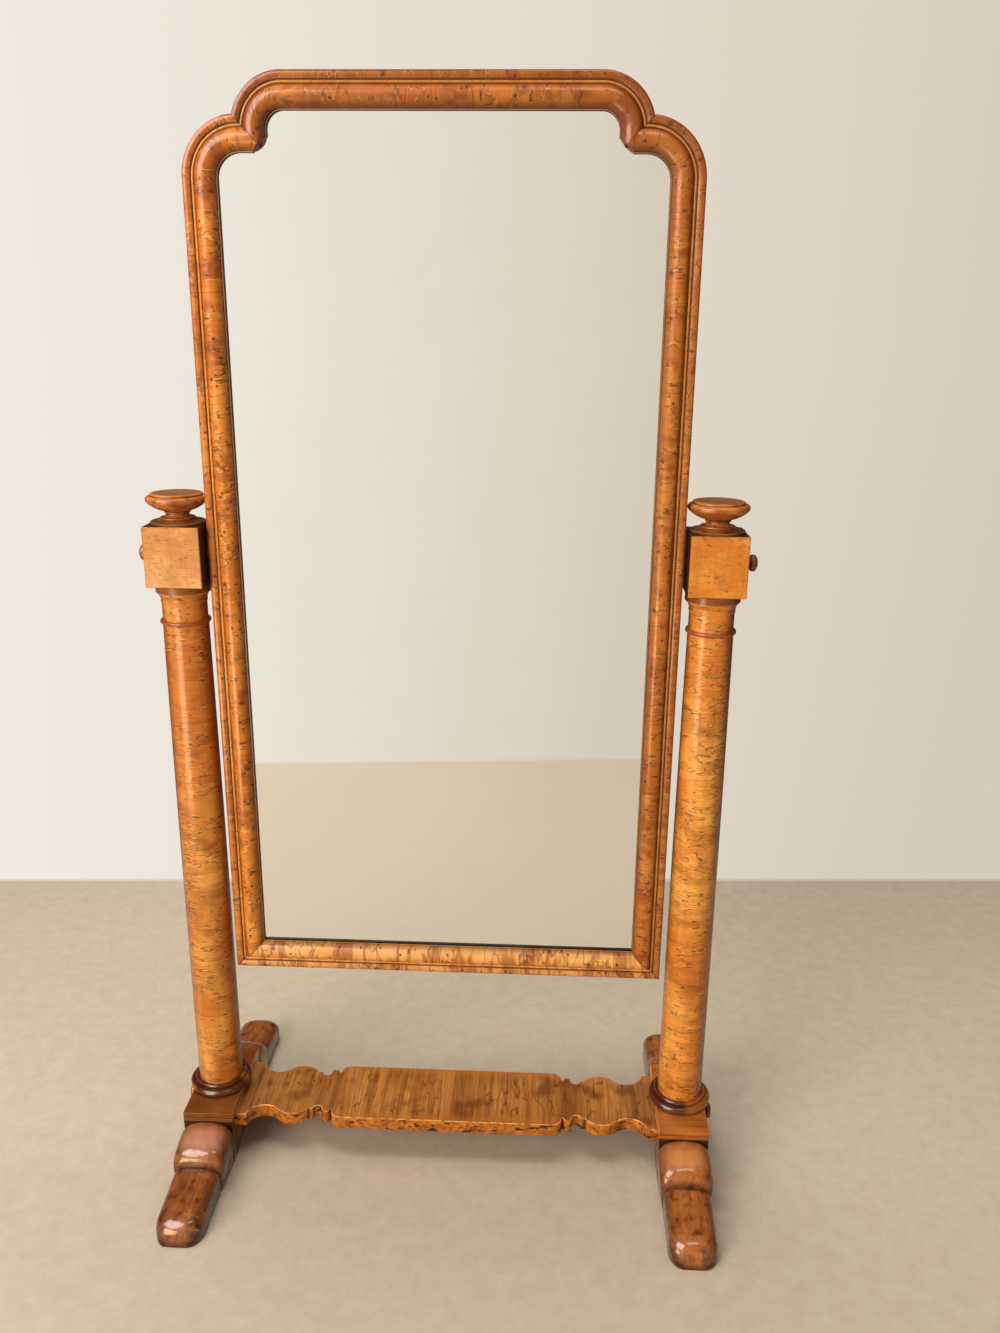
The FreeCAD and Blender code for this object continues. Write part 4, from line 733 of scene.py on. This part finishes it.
# Heads on the outer faces, turned about X: pivot knobs on the blocks and bolt heads on the feet.
headGrid = {"steps": 6, "around": 56, "gap": 0.5}
headSizes = {
    "pivot_knob": {
        "face": 425.8, "height": standSizes["pivot"], "body": "{}_knob", "finish": knobWood,
        "slot": "turned_wood_knob",
        "profile": [(8, 2.3), (8, 7.3), (10.6, 8.2), (12, 10, 0.3), (12, 13), (9.8, 16.4, 0.7), (7.2, 18)],
    },
    "stretcher_bolt": {
        "face": 424.0, "height": 69.0, "body": "stand", "finish": brass, "slot": "aged_brass",
        "profile": [
            (10.5, 0), (10.5, 1.8), (8, 1.8), (8, 6.8), (11.2, 7.6), (12.5, 9.2, 0.3), (12.5, 11),
            (10, 13.9, 0.6), (7, 15),
        ],
    },
}
for side, way in sides.items():
    for piece, head in headSizes.items():
        profile = traceRun(head["profile"], headGrid["steps"])
        centre, body = (way * head["face"], 0, head["height"]), head["body"].format(side)
        turnedPiece(f"{side}_{piece}", profile, centre, head["finish"], body, axis=0, way=way,
                    around=headGrid["around"], gap=headGrid["gap"])
print("turned pieces made")

# Pivot blocks
blockSizes = {"width": 81.6, "depth": 81.2, "round": 0.9, "guard": 1.4, "steps": 4, "near": 0.01}


# A square with rounded corners: half - r + r (cos a, sin a), one quarter turn at each corner.
def roundedSquare(halfX, halfY, radius, steps):
    turn = np.linspace(0, np.pi / 2, steps + 1)
    corner = np.repeat(np.arange(4), steps + 1)
    angle = np.tile(turn, 4) + corner * np.pi / 2
    signX, signY = np.array([1, -1, -1, 1])[corner], np.array([1, 1, -1, -1])[corner]
    x = signX * (halfX - radius) + radius * np.cos(angle)
    return asPoints(x, signY * (halfY - radius) + radius * np.sin(angle))


# The plan goes up through levels that draw in by r (1 - sin a) where the top and bottom edges are rounded.
def pivotBlock(side, way):
    b = blockSizes
    halves, tall = np.array([b["width"] / 2, b["depth"] / 2]), standSizes["blockHalf"]
    turn = np.linspace(0, np.pi / 2, b["steps"])
    edge = b["round"] * (1 - asPoints(np.sin(turn), np.cos(turn)))
    low = np.concatenate([edge, [[0, b["round"] + b["guard"]]]])  # inset, distance from the end
    insets = np.concatenate([low[:, 0], low[::-1, 0]])
    levels = np.concatenate([low[:, 1] - tall, tall - low[::-1, 1]])
    plan = guardRun(roundedSquare(*halves, b["round"], b["steps"]), b["guard"], True)
    x, y = np.moveaxis(plan * (1 - insets[:, None, None] / halves), -1, 0)
    grid = asPoints(x, y, levels[:, None])
    # The worn mark darkens the block along its rounded edges and corners.
    onCorner = np.all(np.abs(np.abs(plan) - halves) < b["round"] + b["near"], axis=1)
    onEdge = np.minimum(np.abs(levels + tall), np.abs(levels - tall)) < b["round"] + b["near"]
    worn = np.maximum(onCorner[None] * 1.0, onEdge[:, None] * 1.0)
    # The inner side, which faces the frame, takes the dark finish as painted shade.
    inner = -way * plan[:, 0] > halves[0] - b["near"]
    zones = (inner & np.roll(inner, -1)).astype(int)
    centre = np.array((way * standSizes["spacing"], 0, standSizes["pivot"]))
    tubePiece(f"{side}_pivot_block", grid + centre, [blockWood[side], innerSide], "stand",
              zones=zones, capZone=1, marks={"worn": worn})


for side, way in sides.items():
    pivotBlock(side, way)

# Plinths
plinthSizes = {
    "halfWidth": 39.7, "low": 80.0, "edge": 0.8, "guard": 0.6, "middle": (0, 7), "core": (80, 5),
    "profile": [
        (-86, 0), (86, 0), (86, 5.2), (83.4, 5.4), (83.4, 7.8), (86, 8), (86, 14), (-86, 14), (-86, 8),
        (-83.4, 7.8), (-83.4, 5.4), (-86, 5.2),
    ],
}


# The profile runs from side to side, drawn in all round at both ends.
def plinth(side, way):
    p = plinthSizes
    run = guardRun(np.array(p["profile"], float), p["guard"], True)
    half, edge = p["halfWidth"], p["edge"]
    levels = np.array([-half, -half + edge, -half + 3 * edge, half - 3 * edge, half - edge, half])
    shrink = np.array([edge, 0, 0, 0, 0, edge])[:, None, None]
    away = run - p["middle"]
    y, z = np.moveaxis(run - shrink * np.sign(away) * (np.abs(away) > p["core"]), -1, 0)
    grid = asPoints(levels[:, None], y, z)
    marks = {mark: np.tile(values, (len(levels), 1)) for mark, values in cornerMarks(run, True).items()}
    marks["worn"][[0, -1]] = 1.0
    centre = np.array((way * standSizes["spacing"], 0, p["low"]))
    tubePiece(f"{side}_plinth", grid + centre, [plinthWood[side]], "stand",
              marks=marks)


for side, way in sides.items():
    plinth(side, way)

# Sledge feet: a pair is for the seat's end and the toe's, or for the start and end of a stretch
footSizes = {
    "seatEnd": 86.0, "seatHalf": 39.0, "seatTop": 80.0, "seatCrown": 1.2, "seatSquare": 14,
    "archEnd": 70.0, "archRise": 12.0, "seatRows": (0, 12, 24, 36, 46, 55, 62, 67, 70, 78, 84.8, 86),
    "kneeEnd": 152.0, "kneeHalf": 41.5, "kneeTop": 79.2, "kneeCrown": 28, "kneeSquare": 2.8,
    "kneeDrop": 17.36, "kneePower": 2.2, "kneeGaps": (0.2, 1.2), "kneeRound": (0.16, 0.24),
    "kneeSink": (2.7, 11.0), "kneeNarrow": (7.2, 8.1),
    "kneeRows": [(0, 0.015, 0.04, 0.075), np.linspace(0.12, 0.84, 16), (0.88, 0.92, 0.955, 0.98, 1.0)],
    "groove": [(-0.9, 35.4, 44.0, 20, 3.0, 0), (0.5, 35.2, 43.4, 20, 3.0, 0), (1.8, 36.2, 44.8, 19, 3.0, 0)],
    "toeHalf": 36.5, "toeTop": (45.0, 39.0), "toeCrown": (18, 22), "toeSquare": (3.0, 2.7),
    "toeRows": (0.04, 1, 14), "noseStart": 233.0, "noseReach": 30.0, "noseLip": 13.0, "noseNarrow": 21.0,
    "noseSide": 3.5, "noseSquare": 2.5, "noseRows": 22,
    "around": 41, "heel": 1.2, "sideShare": 0.2, "sideRise": 8, "sharp": 48,
}
footWear = {  # a bell's shift and spread, or where the nose's wear starts and over how much; then the amount
    # groove, seat, sole and rim set painted shade
    "groove": (0.8, 2.6), "seat": (0.0, 1.0), "sole": 0.7, "rim": 0.42, "liftPower": 1.9,
    "knee": (-5, 4, 0.5), "nose": (246, 20, 0.35), "kneeFade": (6, 26, -24, -8),
}


# Sections along y of one half: (y, half width, top, crown height, squareness, underside).
def footStations():
    f = footSizes
    seatY = np.array(f["seatRows"])
    under = np.where(seatY < f["archEnd"], f["archRise"] * (1 - (seatY / f["archEnd"]) ** 2), 0)
    seat = (seatY, f["seatHalf"], f["seatTop"], f["seatCrown"], f["seatSquare"], under)
    knee = np.concatenate(f["kneeRows"])
    kneeY = f["seatEnd"] + f["kneeGaps"][0] + (f["kneeEnd"] - f["seatEnd"] - sum(f["kneeGaps"])) * knee
    ends = np.stack([knee / f["kneeRound"][0], (1 - knee) / f["kneeRound"][1]])
    ends = 1 - np.sqrt(1 - (1 - np.clip(ends, 0, 1)) ** 2)  # a quarter circle over each end
    kneeTop = f["kneeTop"] - f["kneeDrop"] * knee ** f["kneePower"] - f["kneeSink"] @ ends
    kneeHalf = f["kneeHalf"] - f["kneeNarrow"] @ ends
    kneeRows = (kneeY, kneeHalf, kneeTop, f["kneeCrown"], f["kneeSquare"], 0)
    groove = (np.array(f["groove"]) + (f["kneeEnd"], 0, 0, 0, 0, 0)).T
    toe = np.linspace(*f["toeRows"])
    toeY = f["kneeEnd"] + (f["noseStart"] - f["kneeEnd"]) * toe
    sloped = (first + (last - first) * toe for first, last in (f["toeTop"], f["toeCrown"], f["toeSquare"]))
    turn = np.linspace(0, np.pi / 2, f["noseRows"])[1:]
    noseTop = f["noseLip"] + (f["toeTop"][1] - f["noseLip"]) * np.cos(turn)
    noseCrown = np.minimum(f["toeCrown"][1], noseTop - f["noseSide"])
    noseSquare = f["toeSquare"][1] + (f["noseSquare"] - f["toeSquare"][1]) * np.sin(turn)
    noseY = f["noseStart"] + f["noseReach"] * np.sin(turn)
    noseHalf = f["toeHalf"] - f["noseNarrow"] * (1 - np.cos(turn))
    nose = (noseY, noseHalf, noseTop, noseCrown, noseSquare, 0)
    stretches = (seat, kneeRows, groove, (toeY, f["toeHalf"], *sloped, 0), nose)
    return np.concatenate([asPoints(*stretch) for stretch in stretches])


def bell(distance, spread):  # exp(-(d / s)^2)
    return np.exp(-(distance / spread) ** 2)


# A station's section: x = w cos(a)^(2/n), z = shoulder + crown sin(a)^(2/n), straight sides and a flat sole.
def sledgeFoot(side, way):
    f, wear = footSizes, footWear
    half = footStations()
    rows = np.concatenate([half[:0:-1] * (-1, 1, 1, 1, 1, 1), half])
    y, width, top, crown, square, under = (rows[:, i:i + 1] for i in range(6))
    angle = np.linspace(np.pi, 0, f["around"])[None]
    archX = width * np.sign(np.cos(angle)) * np.abs(np.cos(angle)) ** (2 / square)
    archZ = top - crown + crown * np.abs(np.sin(angle)) ** (2 / square)
    heel, share, ends = f["heel"], f["sideShare"], np.abs(y)
    sole = np.minimum(width, np.interp(ends, (f["seatEnd"], f["kneeEnd"]), (f["seatHalf"], f["toeHalf"])))
    leftX = np.concatenate([-sole + heel, -sole, -(1 - share) * sole - share * width], 1)
    leftZ = np.concatenate([under, under + heel, under + f["sideRise"] * heel], 1)
    x = np.concatenate([leftX, archX, -leftX[:, ::-1]], 1)
    z = np.concatenate([leftZ, archZ, leftZ[:, ::-1]], 1)
    grid = asPoints(x, y, z)
    lift = np.clip((z - top + crown) / crown, 0, 1) ** wear["liftPower"]
    # painted shade: on the sides below the crown, in the groove, under the plinth and along the sole
    grime = wear["rim"] * (1 - lift) * (ends > f["seatEnd"])
    for place, (shift, spread) in ((f["kneeEnd"], wear["groove"]), (f["seatEnd"], wear["seat"])):
        grime = np.maximum(grime, bell(ends - place - shift, spread))
    for edge in (slice(None, 2), slice(-2, None)):
        grime[:, edge] = np.maximum(grime[:, edge], wear["sole"])
    (shift, spread, kneeWorn), (noseFrom, noseSpan, noseWorn) = wear["knee"], wear["nose"]
    worn = bell(ends - f["kneeEnd"] - shift, spread) * kneeWorn
    worn = worn + np.clip((ends - noseFrom) / noseSpan, 0, 1) * noseWorn
    fade = np.array(wear["kneeFade"]) + (f["seatEnd"], f["seatEnd"], f["kneeEnd"], f["kneeEnd"])
    # Painted sheen on the front knee's top; the crown mark paints light on the top of each section.
    knee = (y < 0) * lift ** 2 * np.interp(ends, fade, (0, 1, 1, 0))
    marks = {"grime": grime, "worn": worn * lift, "crown": lift, "knee": knee}
    centre = np.array((way * standSizes["spacing"], 0, 0))
    tubePiece(f"{side}_foot", grid + centre, [footWood[side]], "stand",
              marks=marks, sharp=f["sharp"])


for side, way in sides.items():
    sledgeFoot(side, way)
print("blocks, plinths and feet made")

# Stretcher platform
stretcherSizes = {
    "quarter": [
        (174, -65), (190, -49, 4.69), (192.5, -47), (206.5, -47, 6.6), (221.5, -47, -8), (228.5, -47),
        (278.5, -51.5, 11.4), (327, -62, -14), (327, -67), (346, -67),
    ],
    "edgeRows": [
        (58, 1.2), (58.4, 0.4), (59.4, 0), (66, 0), (72, 0), (78.2, 0), (79.3, 0.3), (79.85, 0.8), (80, 1.4),
    ],
    "arrisFrom": 6, "steps": 12, "guard": 2.6, "mitreLimit": 0.5,
}


# The outline is one quarter mirrored round all four, each point drawn in along its normal at every level.
def stretcherPlatform():
    s = stretcherSizes
    quarter = guardRun(traceRun(s["quarter"], s["steps"]), s["guard"], False)
    right = np.concatenate([quarter, quarter[::-1] * (1, -1)])
    outline = np.concatenate([right, right[::-1] * (-1, 1)])
    ahead = np.roll(outline, -1, 0) - outline
    ahead = ahead / np.linalg.norm(ahead, axis=1, keepdims=True)
    out = asPoints(ahead[:, 1], -ahead[:, 0])
    back = np.roll(out, 1, 0)
    mitre = (out + back) / np.maximum(1 + (out * back).sum(1, keepdims=True), s["mitreLimit"])
    level, inward = np.array(s["edgeRows"], float).T[:, :, None]
    x, y = np.moveaxis(outline - inward[..., None] * mitre, -1, 0)
    zones = np.where(np.arange(len(level) - 1) < s["arrisFrom"], 0, 1)[:, None]
    # grime and painted shade at the inner corners of the outline
    grime = np.tile(cornerMarks(outline, True)["grime"], (len(level), 1))
    tubePiece("stretcher_platform", asPoints(x, y, level), [burrWood, arrisWood, boardWood], "stand",
              zones=zones, capZone=2, marks={"grime": grime})


stretcherPlatform()
print("stretcher made")

# Finishes of the pieces that keep their solid
keptFinishes = [
    (mirrorPlate, ["mirror_glass"]),
    (pineWood, ["left_backboard", "centre_backboard", "right_backboard", "glass_blocks", "mitre_dowels"]),
    (steel, ["backboard_screws", "pivot_plate_screws", "stretcher_nuts"]),
    (brass, [f"{side}_pivot_{piece}" for side in sides for piece in ("bush", "plate", "screw")]),
    (leather, [f"{side}_pivot_washer" for side in sides]),
]
for finish, names in keptFinishes:
    for name in names:
        nodes[name].data.materials.clear()
        nodes[name].data.materials.append(finish)

# Camera
cameraSizes = {
    "place": (0.1452, -1.5411, 1.317), "yaw": -2.4189, "pitch": 17.2614, "roll": 0.5364, "focal": 1092.88,
    "imageHeight": 1333, "sensor": 36.0,
}
yaw, pitch, roll = (math.radians(cameraSizes[key]) for key in ("yaw", "pitch", "roll"))
ahead = Vector((math.sin(yaw) * math.cos(pitch), math.cos(yaw) * math.cos(pitch), -math.sin(pitch)))
level = Vector((math.cos(yaw), -math.sin(yaw), 0))
right = math.cos(roll) * level - math.sin(roll) * ahead.cross(level)
up = -ahead.cross(right)
lens = bpy.data.cameras.new("camera")
lens.sensor_width = cameraSizes["sensor"]
lens.lens = cameraSizes["focal"] / cameraSizes["imageHeight"] * cameraSizes["sensor"]
camera = bpy.data.objects.new("camera", lens)
camera.matrix_world = Matrix((right, up, -ahead)).transposed().to_4x4()
camera.location = cameraSizes["place"]
scene.collection.objects.link(camera)
scene.camera = camera

# Stage: a pale floor that runs out into a plain backdrop, and soft lamps
stageSizes = {
    "floorHalf": 30.0, "backLine": (0.8985, -0.0617), "frontLine": (-1.7023, 0.0954), "blur": 0.01,
    "backdropLeft": "#F2ECE1", "backdropRight": "#D7CBB9", "standOff": 1.5411,
    "backSpread": (-0.5, 0.42), "frontSpread": (-0.34, 0.12), "floorTone": "#D0C0AC", "floorFleck": "#C5B49D",
    "fleckSpan": (0.35, 0.7), "fleck": {"Scale": 1 / 0.03, "Detail": 5.0, "Roughness": 0.7},
    "floorFront": "#CABCA9", "frontFrom": (-0.35, -0.8), "sideFade": (1.6, 3.6),
    "ambient": 0.14, "ambientTone": "#F6F2EA", "ceiling": 0.1, "ceilingEdge": (0.6, 0.34),
    "flag": 0.12, "flagEdge": (-0.45, -0.72),
}


# Camera, mirror and glass rays see the plain backdrop; other rays take ordinary light from the same place.
def plainSight(add):
    path = add("LightPath")
    seen = path["Is Camera Ray"]
    for ray in ("Is Glossy Ray", "Is Transmission Ray"):
        seen = add("Math", {0: seen, 1: path[ray]}, operation="MAXIMUM")[0]
    return seen


# Dark flags behind, beside and above, which only the soft reflections of polish see, keep its edges deep.
def flagged(add, clear, level):
    path = add("LightPath")
    soft = add("Math", {0: path["Is Glossy Ray"], 1: path["Is Singular Ray"]}, operation="SUBTRACT")[0]
    shut = add("Math", {0: 1.0, 1: clear}, operation="SUBTRACT")[0]
    share = add("Math", {0: soft, 1: shut}, operation="MULTIPLY")[0]
    return add("MapRange", {0: share, 3: 1.0, 4: level})[0]


# The backdrop goes from pale on the left to deeper on the right, by x / (|y| + stand-off).
def backdropTone(add, x, y, standOff):
    s = stageSizes
    away = add("Math", {0: y}, operation="ABSOLUTE")[0]
    away = add("Math", {0: away, 1: standOff}, operation="ADD")[0]
    aside = add("Math", {0: x, 1: away}, operation="DIVIDE")[0]
    front, back = (add("MapRange", {0: aside, 1: s[key][0], 2: s[key][1]})[0]
                   for key in ("frontSpread", "backSpread"))
    behind = add("Math", {0: y, 1: 0.0}, operation="GREATER_THAN")[0]
    share = add("Mix", {0: behind, 2: front, 3: back}, data_type="FLOAT")[0]
    ends = {0: share, 6: hexLinear(s["backdropLeft"]), 7: hexLinear(s["backdropRight"])}
    return add("Mix", ends, data_type="RGBA")[2]


def makeFloor():
    s = stageSizes
    half = s["floorHalf"]
    mesh = bpy.data.meshes.new("floor")
    corners = [(-half, -half, 0), (half, -half, 0), (half, half, 0), (-half, half, 0)]
    mesh.from_pydata(corners, [], [(0, 1, 2, 3)])
    floor = bpy.data.objects.new("floor", mesh)
    scene.collection.objects.link(floor)
    finish = bpy.data.materials.new("pale_floor")  # matt, plain, with the faint mottle of a smooth carpet
    add = startNodes(finish)
    coords = add("TexCoord")["Object"]
    x, y, _ = add("SeparateXYZ", {0: coords})
    aside = add("Math", {0: x}, operation="ABSOLUTE")[0]
    fade = {0: aside, 1: s["sideFade"][0], 2: s["sideFade"][1]}
    outside = add("MapRange", fade, interpolation_type="SMOOTHSTEP")[0]
    # The floor lies between two nearly level lines.
    for (place, slope), way in ((s["backLine"], 1), (s["frontLine"], -1)):
        reach = add("Math", {0: x, 1: slope, 2: y}, operation="MULTIPLY_ADD")[0]
        past = add("MapRange", {0: reach, 1: place - way * s["blur"], 2: place + way * s["blur"]})[0]
        outside = add("Math", {0: outside, 1: past}, operation="MAXIMUM")[0]
    mottle = add("TexNoise", {"Vector": coords, **s["fleck"]})[0]
    mottle = add("MapRange", {0: mottle, 1: s["fleckSpan"][0], 2: s["fleckSpan"][1]})[0]
    deep = add("MapRange", {0: y, 1: s["frontFrom"][0], 2: s["frontFrom"][1]})[0]
    tone = hexLinear(s["floorTone"])
    for share, key in ((mottle, "floorFleck"), (deep, "floorFront")):
        tone = add("Mix", {0: share, 6: tone, 7: hexLinear(s[key])}, data_type="RGBA")[2]
    ground = add("BsdfDiffuse", {"Color": tone})[0]
    tone = backdropTone(add, x, y, s["standOff"])
    far = add("BsdfDiffuse", {"Color": tone})[0]
    before = add("Math", {0: y, 1: 0.0}, operation="LESS_THAN")[0]
    shown = add("Emission", {"Color": tone, "Strength": flagged(add, before, s["flag"])})[0]
    beyond = add("MixShader", {0: plainSight(add), 1: far, 2: shown})[0]
    mixed = add("MixShader", {0: outside, 1: ground, 2: beyond})[0]
    add("OutputMaterial", {0: mixed})
    mesh.materials.append(finish)


def makeWorld():
    s = stageSizes
    world = bpy.data.worlds.new("studio")
    add = startNodes(world)
    light = add("Background", {0: hexLinear(s["ambientTone"]), 1: s["ambient"]})[0]
    x, y, z = add("SeparateXYZ", {0: add("TexCoord")["Generated"]})
    below = add("MapRange", {0: z, 1: s["ceilingEdge"][0], 2: s["ceilingEdge"][1]})[0]
    before = add("MapRange", {0: y, 1: s["flagEdge"][0], 2: s["flagEdge"][1]})[0]
    dimmed = {0: flagged(add, below, s["ceiling"]), 1: flagged(add, before, s["flag"])}
    level = add("Math", dimmed, operation="MULTIPLY")[0]
    shown = add("Background", {0: backdropTone(add, x, y, 0.0), 1: level})[0]
    mixed = add("MixShader", {0: plainSight(add), 1: light, 2: shown})[0]
    add("OutputWorld", {0: mixed})
    scene.world = world


# Lamps with sheen light only the polish, the others only the plain colour.
lamps = {
    "key": {"place": (-2.8, -3.7, 2.1), "aim": (0, 0, 0.8), "size": (2.6, 2.6), "watts": 205.0,
            "tone": "#FFFAF3", "sheen": False},
    "fill": {"place": (2.6, -2.2, 2.0), "aim": (0, 0, 0.8), "size": (1.6, 1.6), "watts": 8.0,
             "tone": "#FFFAF3", "sheen": False},
    "top": {"place": (-0.3, 0.16, 3.2), "aim": (0, 0, 0), "size": (2.2, 2.2), "watts": 82.0,
            "tone": "#FFFDF8", "sheen": False},
    "window": {"place": (-1.6, -1.5, 2.4), "aim": (0, 0, 0.2), "size": (2.0, 1.8), "watts": 118.0,
               "tone": "#F6F4F2", "sheen": True},
    "lowWindow": {"place": (-1.0, -1.25, 0.32), "aim": (0, 0, 0.32), "size": (0.7, 0.6), "watts": 17.0,
                  "tone": "#FFDCAE", "sheen": True},
    "skylight": {"place": (0.5, -0.9, 3.0), "aim": (0, 0, 0.9), "size": (1.0, 0.5), "watts": 10.0,
                 "tone": "#FFFAF3", "sheen": True},
}
makeFloor()
makeWorld()
lampless = bpy.data.collections.new("lampless")  # the silvered glass shows no lamp
lampless.objects.link(nodes["mirror_glass"])
lampless.collection_objects[0].light_linking.link_state = "EXCLUDE"
for name, lamp in lamps.items():
    light = bpy.data.lights.new(name, "AREA")
    light.shape = "RECTANGLE"
    light.size, light.size_y = lamp["size"]
    light.energy, light.color = lamp["watts"], hexLinear(lamp["tone"])[:3]
    holder = bpy.data.objects.new(name, light)
    holder.visible_glossy, holder.visible_diffuse = lamp["sheen"], not lamp["sheen"]
    holder.light_linking.receiver_collection = lampless
    holder.location = lamp["place"]
    holder.rotation_euler = (Vector(lamp["aim"]) - Vector(lamp["place"])).to_track_quat("-Z", "Y").to_euler()
    scene.collection.objects.link(holder)
scene.view_settings.view_transform = "Standard"
print("camera, stage and lamps set")
